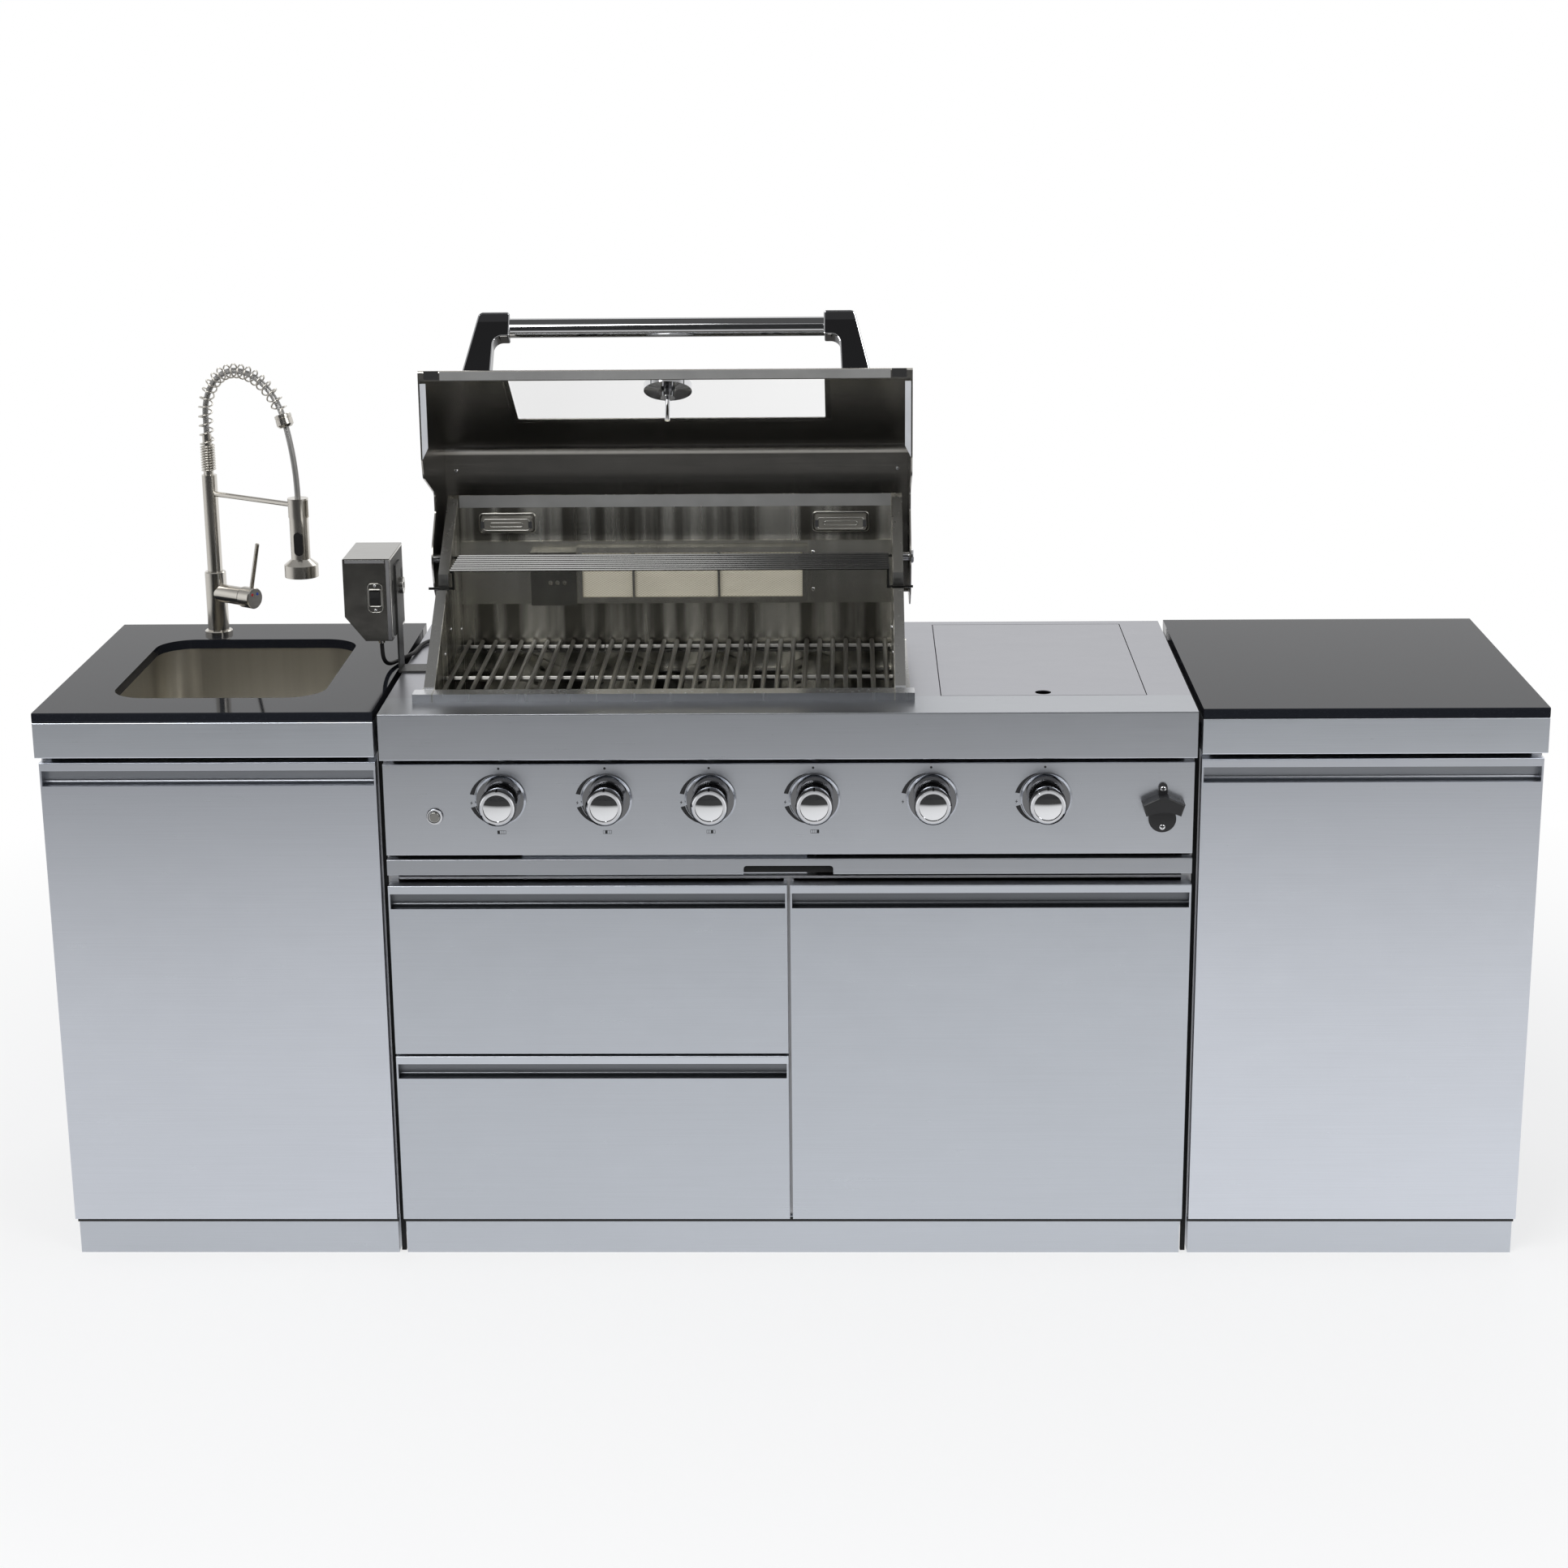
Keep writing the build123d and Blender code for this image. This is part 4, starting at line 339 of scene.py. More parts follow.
# painted shade: a dark tone for the motor's side towards the grill and for the rotisserie bracket
sideShade = plain("sideShade", (0.035, 0.035, 0.033), 0.42)
printInk = plain("printInk", (0.012, 0.012, 0.014), 0.6)
redMark = plain("redMark", (0.55, 0.03, 0.03), 0.35)
blueMark = plain("blueMark", (0.03, 0.08, 0.45), 0.35)
dialWhite = plain("dialWhite", (0.72, 0.72, 0.70), 0.4)
shadowGap = plain("shadowGap", (0.006, 0.006, 0.006), 0.8)
# matte sheets on folded edges of the steel: pale as a painted highlight, grey as painted light in place of their dark
# reflections
paleFoldHighlight = plain("paleFoldHighlight", (0.46, 0.47, 0.49), 0.35)
greyFoldLight = plain("greyFoldLight", (0.20, 0.20, 0.195), 0.3)

finishes = {
    frontSteel: "sink_door side_door",
    grillSteel: "gas_door drawer_upper_front drawer_lower_front plinths",
    fasciaSteel: "worktop_fascias",
    panelSteel: "control_panel front_band grease_tray",
    deckSteel: "grill_deck side_burner_lid side_burner",
    hoodSteel: "hood_shell hood_end_caps",
    fireSteel: "firebox",
    burnerSteel: "back_burner flame_tamers main_burners",
    boxSteel: "sink_cabinet side_cabinet grill_cabinet drawer_upper_box drawer_lower_box gas_manifold",
    bowlSteel: "sink_bowl sink_waste",
    motorSteel: "rotisserie_motor",
    grateSteel: "cooking_grates light_button",
    rackSteel: "warming_rack",
    chrome: "thermometer hood_pivots",
    knobChrome: "knob_1 knob_2 knob_3 knob_4 knob_5 knob_6 knob_bezels",
    barChrome: "hood_handle",
    lampCover: "oven_lamps",
    blackChrome: "hood_handle_brackets",
    sideShade: "rotisserie_bracket",
    nickel: "tap_body tap_lever tap_column tap_spray_head tap_hose tap_spring",
    stone: "sink_worktop side_worktop",
    windowGlass: "hood_window",
    tile: "back_burner_tile",
    rubber: "cord_run cord_coil",
    blackPlastic: "cord_plug motor_switch tap_spray_toggle",
    castBlack: "bottle_opener",
}
for mat, names in finishes.items():
    for name in names.split():
        nodes[name].data.materials.clear()
        nodes[name].data.materials.append(mat)
print("finishes on", sum(len(v.split()) for v in finishes.values()), "nodes")


# a grid of points (rows, columns) becomes quads; the columns close, and the end rows may be capped
def gridFaces(rows, cols, first, caps):
    i = np.arange(rows - 1)[:, None] * cols
    j = np.arange(cols)[None, :]
    k = (j + 1) % cols
    quads = np.stack([i + j, i + k, i + cols + k, i + cols + j], -1).reshape(-1, 4)
    faces = (quads + first).tolist()
    if caps:
        faces.append(list(range(first, first + cols))[::-1])
        faces.append(list(range(first + (rows - 1) * cols, first + rows * cols)))
    return faces


def skin(name, grid, mat, body, caps=True, smooth=True, uv=None):
    faces = gridFaces(*grid.shape[:2], 0, caps)
    return piece(name, grid.reshape(-1, 3), faces, mat, body, smooth, uv)


# several small grids as one piece
def joined(name, grids, mat, body, caps=True, smooth=True):
    starts = np.cumsum([0] + [g.shape[0] * g.shape[1] for g in grids])
    faces = [f for g, start in zip(grids, starts) for f in gridFaces(*g.shape[:2], int(start), caps)]
    points = np.concatenate([g.reshape(-1, 3) for g in grids])
    return piece(name, points, faces, mat, body, smooth)


def piece(name, points, faces, mat, body, smooth=True, uv=None):
    mesh = bpy.data.meshes.new(name)
    mesh.from_pydata(points.tolist(), [], faces)
    mesh.update()
    if smooth:
        mesh.shade_smooth()
        mesh.set_sharp_from_angle(angle=math.radians(40))
    if uv is not None:
        corner = np.zeros(len(mesh.loops), int)
        mesh.loops.foreach_get("vertex_index", corner)
        mesh.uv_layers.new(name="face").data.foreach_set("uv", uv[corner].ravel().astype(np.float32))
    mesh.materials.append(mat)
    obj = bpy.data.objects.new(name, mesh)
    scene.collection.objects.link(obj)
    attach(obj, body)
    return obj


# a round section carried along a path whose side vectors are known
def tube(path, side, radius, sides):
    along = np.gradient(path, axis=0)
    along /= np.linalg.norm(along, axis=1, keepdims=True)
    other = np.cross(along, side)
    other /= np.linalg.norm(other, axis=1, keepdims=True)
    side = np.cross(other, along)
    angle = np.linspace(0, 2 * np.pi, sides, endpoint=False)
    ring = np.cos(angle)[None, :, None] * side[:, None] + np.sin(angle)[None, :, None] * other[:, None]
    return path[:, None] + radius * ring


# a profile of (radius, height) pairs turned about an axis through a centre
def turned(profile, centre, axis, sides=48, ripple=0.0):
    profile = np.asarray(profile, float)
    axis = np.asarray(axis, float) / np.linalg.norm(axis)
    first = np.cross(axis, (0.31, 0.55, 0.77))
    first /= np.linalg.norm(first)
    second = np.cross(axis, first)
    angle = np.linspace(0, 2 * np.pi, sides, endpoint=False)[None, :, None]
    ring = np.cos(angle) * first + np.sin(angle) * second
    radius = profile[:, 0][:, None, None] + np.reshape(ripple, (1, -1, 1))
    return np.asarray(centre) + radius * ring + profile[:, 1][:, None, None] * axis


# an outline in millimetres on a face, raised from one height to another along the face's normal
def prism(outline, origin, right, up, low, high):
    right, up = np.array(right, float), np.array(up, float)
    out = np.cross(right, up)
    flat = outline[:, :1] * right + outline[:, 1:] * up
    return np.stack([np.asarray(origin) + (flat + h * out) / 1000 for h in (low, high)])


def rect(x0, x1, y0, y1):
    return np.array([(x0, y0), (x1, y0), (x1, y1), (x0, y1)], float)


# a band round a centre whose width runs from one value to another
def crescent(inner, start, end, widthA, widthB, steps=24):
    angle = np.radians(np.linspace(start, end, steps))[:, None]
    way = np.hstack([np.cos(angle), np.sin(angle)])
    outer = inner + np.linspace(widthA, widthB, steps)[:, None]
    return np.concatenate([outer * way, (inner * way)[::-1]])


# a rectangle with round corners, four quarter circles in turn
def roundRect(width, height, radius, steps=6):
    quarter = np.linspace(0, math.pi / 2, steps)
    angle = np.concatenate([quarter + k * math.pi / 2 for k in range(4)])
    side = np.repeat([(1, 1), (-1, 1), (-1, -1), (1, -1)], steps, axis=0)
    middle = side * (width / 2 - radius, height / 2 - radius)
    return middle + radius * np.stack([np.cos(angle), np.sin(angle)], 1)


# a closed wire along an outline that lies on a face
def wireLoop(outline, origin, right, up, off, radius, sides=8):
    path = prism(np.vstack([outline, outline[:1]]), origin, right, up, off, off)[0]
    out = np.cross(right, up)
    grid = tube(path, np.tile(out, (len(path), 1)), radius / 1000, sides)
    grid[-1] = grid[0]
    return grid


tap = {"x": -1015, "y": 565, "turn": -34.5, "columnTop": 1229, "archStart": 1333, "shoulder": 83,
       "crown": 114, "crownAngle": 71, "fall": 400, "guideTop": 1300, "wire": 1.5, "coil": 11.4, "bend": 5.0,
       "tight": 10, "tightPitch": 4.5, "open": 19, "collar": 14.5, "collarBore": 5.2, "collarHeight": 22,
       "hose": 5.0, "hoseSides": 24, "braid": (240, 8)}
upZ = np.array([0, 0, 1])
armWay = np.array([math.cos(math.radians(tap["turn"])), math.sin(math.radians(tap["turn"])), 0])
tapSide = np.cross(armWay, upZ)
tapFoot = np.array(at(tap["x"], tap["y"], 0))
rise = tap["archStart"] - tap["columnTop"]
quarter = tap["shoulder"] * math.pi / 2
crownTurn = math.radians(tap["crownAngle"])
crownEnd = rise + quarter + tap["crown"] * crownTurn  # length of the line up to the end of the crown


# centre line of the arch: a straight rise, then a shoulder, a crown and a long fall
def arch(s):
    a = np.clip((s - rise) / tap["shoulder"], 0, math.pi / 2)
    b = np.clip((s - rise - quarter) / tap["crown"], 0, crownTurn)
    c = np.clip((s - crownEnd) / tap["fall"], 0, math.pi / 2 - crownTurn)
    start = np.sin(crownTurn)
    reach = (tap["shoulder"] * (1 - np.cos(a)) + tap["crown"] * np.sin(b)
             + tap["fall"] * (np.sin(crownTurn + c) - start))
    height = (tap["columnTop"] + np.minimum(s, rise) + tap["shoulder"] * np.sin(a)
              - tap["crown"] * (1 - np.cos(b)) - tap["fall"] * (np.cos(crownTurn) - np.cos(crownTurn + c)))
    return reach, height, a + b + c


def inTap(reach, height, side):
    return tapFoot + (reach[:, None] * armWay + side[:, None] * tapSide + height[:, None] * upZ) / 1000


# wire of the spring: close coils, then open ones, and at both ends a quarter bend into line with the arch
def springPath():
    length = crownEnd - tap["collarHeight"] / 2
    start = 2 * tap["wire"] + tap["bend"]
    turns = tap["tight"] + tap["open"]
    lead = tap["bend"] / tap["coil"]
    t = np.linspace(0, turns, turns * 28 + 1)
    left = length - 2 * start - tap["tightPitch"] * tap["tight"]
    s = start + np.where(t < tap["tight"], tap["tightPitch"] * t,
                         tap["tightPitch"] * tap["tight"] + left * (t - tap["tight"]) / tap["open"])
    phase = 2 * math.pi * t + lead
    q = np.linspace(0, math.pi / 2, 8)[:-1]
    ends = np.linspace(0, 2 * tap["wire"], 4)[:-1]
    bendS = 2 * tap["wire"] + tap["bend"] * np.sin(q)
    bendPhase = lead * (1 - np.cos(q))
    last = phase[-1] + lead
    s = np.concatenate([ends, bendS, s, (length - bendS)[::-1], length - ends[::-1]])
    phase = np.concatenate([ends * 0, bendPhase, phase, (last - bendPhase)[::-1], last + ends * 0])
    reach, height, turn = arch(s)
    out = -np.cos(phase)
    path = inTap(reach + tap["coil"] * out * np.cos(turn), height - tap["coil"] * out * np.sin(turn),
                 tap["coil"] * np.sin(phase))
    return path, path - inTap(reach, height, reach * 0)


springLine, springSide = springPath()
springGrid = tube(springLine, springSide, tap["wire"] / 1000, 10)
spring = skin("tapSpringWire", springGrid, nickel, "tap_arm")
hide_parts("tap_spring")

hoseEnd = crownEnd + tap["fall"] * (math.pi / 2 - crownTurn)
hoseS = np.linspace(tap["guideTop"] - tap["columnTop"], hoseEnd, 220)
hoseReach, hoseHeight, hoseTurn = arch(hoseS)
hoseLine = inTap(hoseReach, hoseHeight, hoseReach * 0)
hoseRing = tube(hoseLine, np.tile(tapSide, (len(hoseLine), 1)), tap["hose"] / 1000, tap["hoseSides"])
hoseU = hoseS / 1000 * tap["braid"][0]
hoseV = np.arange(tap["hoseSides"]) / tap["hoseSides"] * tap["braid"][1]
hoseUv = np.stack(np.meshgrid(hoseU, hoseV, indexing="ij"), -1).reshape(-1, 2)


# braid: strands that cross on the hose's own coordinates
def braidRecipe(w):
    u, v, unused = w.node("ShaderNodeTexCoord", out="UV").axes()
    strand = (u + v).fold().sum("MAXIMUM", (u - v).fold())
    return {
        "Base_Color": strand.blend(rgb(0.10, 0.10, 0.10), rgb(0.78, 0.77, 0.75)),
        "Roughness": 0.5 - strand * 0.3,
        "Normal": bump(w, strand, 0.8, 0.0006),
    }


braid = finish("hoseBraid", braidRecipe, Metallic=1.0)
hose = skin("tapHoseBraid", hoseRing, braid, "tap_arm", uv=hoseUv)
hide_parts("tap_hose")

# collar at the end of the crown: a turned ring with a groove and a rounded shoulder
collarReach, collarRise, collarTurn = arch(np.array([crownEnd]))
collarAt = inTap(collarReach, collarRise, collarReach * 0)[0]
collarWay = armWay * math.sin(collarTurn[0]) + math.cos(collarTurn[0]) * upZ
half, r, bore = tap["collarHeight"] / 2, tap["collar"], tap["collarBore"]
collarProfile = np.array([
    (bore, -half), (r - 1, -half), (r, 1 - half), (r, 6 - half), (r - 0.8, 6.5 - half), (r - 0.8, 7.5 - half),
    (r, 8 - half), (r, half - 4), (r - 3, half - 1), (r - 4, half), (bore, half), (bore, -half)]) / 1000
collarGrid = turned(collarProfile, collarAt, collarWay)
collar = skin("tapHoseCollar", collarGrid, nickel, "tap_arm", caps=False)
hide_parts("tap_hose")
print("tap dressed")

cordSize = {"radius": 0.0035, "lift": 0.0004, "deck": 0.942, "coilX": -470, "coilY": 574, "inner": 29,
            "step": 8.6, "layer": 8.4, "turns": 3, "change": 0.5, "perTurn": 16, "tail": 48}
cordZ = (cordSize["deck"] + cordSize["radius"] + cordSize["lift"]) * 1000
outer = cordSize["inner"] + cordSize["step"] * cordSize["turns"]
route = [(-678, 262, 998), (-678, 262, 977), (-676, 277, 961), (-672, 300, 952.5), (-664, 330, 950.2),
         (-654, 362, 950.6), (-647, 396, 947), (-645, 430, cordZ), (-643, 466, cordZ), (-634, 496, cordZ),
         (-612, 514, cordZ), (-584, 520, cordZ), (-552, 521, cordZ), (-514, cordSize["coilY"] - outer, cordZ),
         (cordSize["coilX"] - 7, cordSize["coilY"] - outer, cordZ)]


# loops of the coil: in on the deck, up a layer in half a turn, and out again
def coilLoops():
    turns, change, perTurn = cordSize["turns"], cordSize["change"], cordSize["perTurn"]
    t = np.arange(0, 2 * turns + change + 1e-6, 1 / perTurn)
    radius = cordSize["inner"] + cordSize["step"] * np.maximum(np.maximum(turns - t, t - turns - change), 0)
    lift = cordSize["layer"] * (1 - np.cos(math.pi * np.clip((t - turns) / change, 0, 1))) / 2
    angle = 2 * math.pi * (t - 0.25)
    radius = radius / np.cos(math.pi / (2 * perTurn)) ** 2  # the curve runs inside its points
    return np.stack([cordSize["coilX"] + radius * np.cos(angle), cordSize["coilY"] + radius * np.sin(angle),
                     cordZ + lift], 1)


loops = coilLoops()
tailEnd = (cordSize["coilX"] - cordSize["tail"], loops[-1][1], loops[-1][2])
tailMid = (cordSize["coilX"] - cordSize["tail"] / 2, loops[-1][1], loops[-1][2])
cordPoints = [at(*p) for p in [*route, *loops.tolist(), tailMid, tailEnd]]
line = bpy.data.curves.new("motorCord", "CURVE")
line.dimensions = "3D"
spline = line.splines.new("NURBS")
spline.points.add(len(cordPoints) - 1)
weighted = np.column_stack([np.array(cordPoints), np.ones(len(cordPoints))])
spline.points.foreach_set("co", weighted.ravel())
spline.order_u = 3
spline.use_endpoint_u = True
spline.resolution_u = 6
line.bevel_depth = cordSize["radius"]
line.bevel_resolution = 4
line.use_fill_caps = True
line.materials.append(rubber)
cord = bpy.data.objects.new("motorCord", line)
scene.collection.objects.link(cord)
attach(cord, "kitchen")
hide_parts("cord_run", "cord_coil")
print("cord laid")

# axes of the upright faces: along the front, to the rear, up, and out of the front
panelX, panelY, panelZ, faceOut = (1, 0, 0), (0, 1, 0), (0, 0, 1), (0, -1, 0)

# printed marks round the knobs: two tapering bands, a spark, a dot and a row of four bays with one filled
marks = {"x": [-460, -290, -123.5, 43, 231, 412.25], "face": 20, "height": 796, "inner": 42.5, "band": 7.5,
         "thin": 0.4, "upper": (104, 170), "lower": (196, 262), "dot": (-2, 51), "spark": (-47, -6),
         "low": 0.02, "high": 0.12, "bay": 3.4, "bayTall": 5.0, "bayDrop": 55, "bayLine": 0.5}
spark = np.array([(1.2, 3.5), (-2.0, -0.4), (0.1, -0.4), (-1.2, -3.5), (2.0, 0.6), (-0.1, 0.6)]) * 1.1
dotAngle = np.linspace(0, 2 * np.pi, 12, endpoint=False)
dot = 2.0 * np.stack([np.cos(dotAngle), np.sin(dotAngle)], 1)
inks = []
for n, x in enumerate(marks["x"]):
    outlines = [crescent(marks["inner"], *marks["upper"], marks["thin"], marks["band"]),
                dot + marks["dot"], spark + marks["spark"]]
    if n != 4:
        outlines.append(crescent(marks["inner"], *marks["lower"], marks["band"], marks["thin"]))
    if n < 4:
        bay, line = marks["bay"], marks["bayLine"]
        foot, head = (way * marks["bayTall"] / 2 - marks["bayDrop"] for way in (-1, 1))
        outlines += [rect(-2 * bay, 2 * bay, head, head + line), rect(-2 * bay, 2 * bay, foot - line, foot)]
        outlines += [rect(k * bay - line / 2, k * bay + line / 2, foot, head) for k in range(-2, 3)]
        outlines.append(rect((n - 2) * bay, (n - 1) * bay, foot, head))
    inks += [(outline, at(x, marks["face"], marks["height"])) for outline in outlines]
for size in sorted({len(outline) for outline, middle in inks}):
    grids = [prism(outline, middle, panelX, panelZ, marks["low"], marks["high"])
             for outline, middle in inks if len(outline) == size]
    joined("knobMarks%d" % size, grids, printInk, "kitchen", smooth=False)

# a mirror dome in each knob's rim and a ribbed grip behind it
knob = {"dome": 22.3, "recess": 2.0, "crown": 1.7, "grip": 26.3, "gripShare": 0.48, "rib": 0.5, "ribs": 60}
for n, x in enumerate(marks["x"], 1):
    low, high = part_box("knob_%d" % n)
    body = "knob_body_%d" % n
    ease = np.linspace(1, 0.02, 14)
    dome = np.stack([knob["dome"] * ease, 0.05 + knob["crown"] * (1 - ease ** 2)], 1) / 1000
    seat = (x / 1000, low[1] + knob["recess"] / 1000, marks["height"] / 1000)
    skin("knobDome%d" % n, turned(dome, seat, faceOut, 64), mirrorChrome, body)
    base = (x / 1000, high[1], marks["height"] / 1000)
    deep = (high[1] - low[1]) * knob["gripShare"]
    r = knob["grip"] / 1000
    sleeve = [(r - 0.001, 0.001), (r, 0.0012), (r, deep), (r - 0.001, deep + 0.0002)]
    wave = knob["rib"] / 1000 * (np.arange(knob["ribs"] * 4) % 4 > 1)
    gripGrid = turned(sleeve, base, faceOut, knob["ribs"] * 4, wave)
    skin("knobGrip%d" % n, gripGrid, darkChrome, body)

# dark ring of painted shade for the gap round the light button, on the face of its ring
button = {"x": -567.6, "z": 768, "face": 15.5, "gap": (8.9, 10.3), "thick": 0.12}
near, wide = button["gap"]
gapProfile = np.array([(near, 0), (wide, 0), (wide, button["thick"]), (near, button["thick"]), (near, 0)]) / 1000
gapGrid = turned(gapProfile, at(button["x"], button["face"], button["z"]), faceOut)
skin("buttonGapShade", gapGrid, shadowGap, "kitchen", caps=False, smooth=False)
print("knobs marked")


screwHead = {"tall": 0.45, "arm": 0.5, "half": 0.11}  # shares of the head's radius


# pan-head screws: a low turned head and a cross cut shown as a dark inlay of painted shade
def screws(name, places, axis, radius, body):
    axis = np.array(axis, float)
    up = np.array((0, 0, 1.0)) if abs(axis[2]) < 0.9 else np.array((0, 1.0, 0))
    right = np.cross(up, axis)
    tall = radius * screwHead["tall"]
    profile = np.array([(1, 0), (1, 0.3), (0.86, 0.75), (0.55, 1), (0.05, 1)]) * (radius, tall) / 1000
    joined(name, [turned(profile, p, axis, 20) for p in places], chrome, body)
    a, b = radius * screwHead["arm"], radius * screwHead["half"]
    cross = np.array([(a, -b), (a, b), (b, b), (b, a), (-b, a), (-b, b), (-a, b), (-a, -b), (-b, -b), (-b, -a),
                      (b, -a), (b, -b)])
    cuts = [prism(cross, p, right, up, tall - 0.05, tall + 0.04) for p in places]
    joined(name + "Cuts", cuts, shadowGap, body, smooth=False)


screws("openerScrews", [at(598, 16, 811), at(598, 16, 748)], faceOut, 5.0, "kitchen")
screws("burnerScrews", [at(37, 493, 1101), at(37, 493, 1036)], faceOut, 3.6, "kitchen")
screws("hoodScrews", [at(x, 561, z) for z in (1234, 1120) for x in (-583, 184)], faceOut, 3.6, "hood")
wallSpots = [(471, 973), (338, 1003), (257, 979)]
screws("wallScrewsLeft", [at(-572, y, z) for y, z in wallSpots], (1, 0, 0), 3.6, "kitchen")
screws("wallScrewsRight", [at(172, y, z) for y, z in wallSpots], (-1, 0, 0), 3.6, "kitchen")
screws("switchScrews", [at(-681, 233, 1100.5), at(-681, 233, 1059.5)], faceOut, 2.4, "kitchen")
print("screws set")

# lamps: wire frames and end clips over the covers
# each loop: what it lies on, width, height, corner, stand-off and wire
lamp = {"x": [-489, 85], "z": 1154, "face": 479, "wall": 497, "clipX": 41, "clip": (-3, 3, -6, 6),
        "loops": [("wall", 95, 33, 6, 2, 1.3), ("face", 79, 19, 4, 0.4, 1.0), ("face", 57, 7, 3.4, 0.4, 0.8)]}
wires = []
clips = []
for x in lamp["x"]:
    for carrier, wide, high, corner, off, wire in lamp["loops"]:
        seat = at(x, lamp[carrier], lamp["z"])
        wires.append(wireLoop(roundRect(wide, high, corner), seat, panelX, panelZ, off, wire))
    front = at(x, lamp["face"], lamp["z"])
    for way in (-1, 1):
        clips.append(prism(rect(*lamp["clip"]) + (way * lamp["clipX"], 0), front, panelX, panelZ, -4, 1.6))
joined("lampFrames", wires, grateSteel, "kitchen", caps=False)
joined("lampClips", clips, chrome, "kitchen", smooth=False)

# rotisserie motor: rocker frame, folded front edges, and a dark plate of painted shade with vent slots of painted
# shade towards the grill
motor = {"right": -655, "front": 235, "bottom": 1007, "top": 1145, "switch": (-681, 1080), "trim": 0.8,
         "vent": (7, 44, 3.4), "ventZ": 76, "ventY": (22, 36, 118, 130), "plate": 0.1, "ventDeep": (0.05, 0.2)}
rocker = at(motor["switch"][0], motor["front"] - 2, motor["switch"][1])
rockerLoops = [wireLoop(roundRect(21, 28, 3), rocker, panelX, panelZ, 0.6, 1.3),
               wireLoop(roundRect(24, 48, 7), rocker, panelX, panelZ, 0.2, 0.7)]
joined("switchFrame", rockerLoops, grateSteel, "kitchen", caps=False)
motorFoot = at(motor["right"], motor["front"], motor["bottom"])
motorTall = motor["top"] - motor["bottom"]
trims = [prism(r, motorFoot, panelX, panelZ, 0.0, motor["trim"])
         for r in (rect(-7, -1, 2, motorTall - 2), rect(-74, -9, motorTall - 7, motorTall - 2))]
joined("motorTrim", trims, boxSteel, "kitchen", smooth=False)
sidePlate = prism(rect(4, 136, 4, motorTall - 4), motorFoot, panelY, panelZ, 0.0, motor["plate"])
joined("motorSide", [sidePlate], sideShade, "kitchen", smooth=False)
slots = [prism(roundRect(*motor["vent"]) + (y, motor["ventZ"]), motorFoot, panelY, panelZ, *motor["ventDeep"])
         for y in motor["ventY"]]
joined("motorVents", slots, shadowGap, "kitchen", smooth=False)
print("lamps and motor dressed")

# black strips of painted shade down and across the joints between the modules
joint = {"x": [-656.8, 649.2], "wide": 7.6, "front": 42, "rear": 616, "bottom": 0.5, "top": 914, "thick": 7}
near, far, foot, head = (joint[k] for k in ("front", "rear", "bottom", "top"))
nearIn, farIn, headIn = near + joint["thick"], far - joint["thick"], head - joint["thick"]
gate = np.array([(near, foot), (nearIn, foot), (nearIn, headIn), (farIn, headIn), (farIn, foot), (far, foot),
                 (far, head), (near, head)], float)
gates = [prism(gate, at(x, 0, 0), panelY, panelZ, 0, joint["wide"]) for x in joint["x"]]
joined("moduleGapShade", gates, shadowGap, "kitchen", smooth=False)

# flat strips: dark strips of painted shade along the plinths, a dark sheet of painted shade in the tray's finger
# notch, a grey strip painted as light along the top of the firebox's back, pads at the ends of the hood's lip and a
# grey strip painted as light along it; each with depth and thickness
strips = [
    ("plinthShadeStrips", [(-1199, -658, 56.5, 64.5), (-648, 648, 56.5, 64.5), (658, 1199, 56.5, 64.5)], 34, 0.9,
     rubber, "kitchen", "black_rubber"),
    ("notchShade", [(-72, 72, 669.3, 683.5)], 30.5, 0.6, shadowGap, "tray", "black_plastic"),
    ("fireFold", [(-571, 171, 1181, 1202)], 497, 1.6, greyFoldLight, "kitchen", "satin_steel"),
    ("lipPads", [(-594, -570, 1431, 1445), (170, 194, 1431, 1445)], 292, 1.6, rubber, "hood", "black_rubber"),
    ("lipFold", [(-568, 168, 1429.5, 1443.5)], 292, 0.6, greyFoldLight, "hood", "satin_steel"),
]
for name, rects, depth, thick, mat, body, slot in strips:
    grids = [prism(rect(*r), at(0, depth, 0), panelX, panelZ, 0.0, thick) for r in rects]
    joined(name, grids, mat, body, smooth=False)

# pale sheets on the folded edges down the hood's end plates, a painted highlight, cut back at their lower ends
plates = [np.array([(outer, 1299), (inner, 1318), (inner, 1424), (outer, 1424)], float)[::way]
          for outer, inner, way in ((-601.4, -591.6, 1), (201.4, 191.6, -1))]
paintedLight = [prism(p, at(0, 293.5, 0), panelX, panelZ, 0.0, 1.2) for p in plates]
joined("capFolds", paintedLight, paleFoldHighlight, "hood", smooth=False)


# an outline whose corners are turned on given radii, each arc between its two tangent points
def rounded(points, radii, steps=7):
    p = np.array(points, float)
    u, v = np.roll(p, 1, 0) - p, np.roll(p, -1, 0) - p
    u /= np.linalg.norm(u, axis=1, keepdims=True)
    v /= np.linalg.norm(v, axis=1, keepdims=True)
    half = np.arccos((u * v).sum(1)) / 2
    r = np.array(radii, float)
    run = (r / np.tan(half))[:, None]
    mid = u + v
    centre = p + mid / np.linalg.norm(mid, axis=1, keepdims=True) * (r / np.sin(half))[:, None]
    share = np.linspace(0, 1, steps)[None, :, None]
    arc = (p + u * run - centre)[:, None] * (1 - share) + (p + v * run - centre)[:, None] * share
    arc *= r[:, None, None] / np.linalg.norm(arc, axis=2, keepdims=True)
    return (centre[:, None] + arc).reshape(-1, 2)


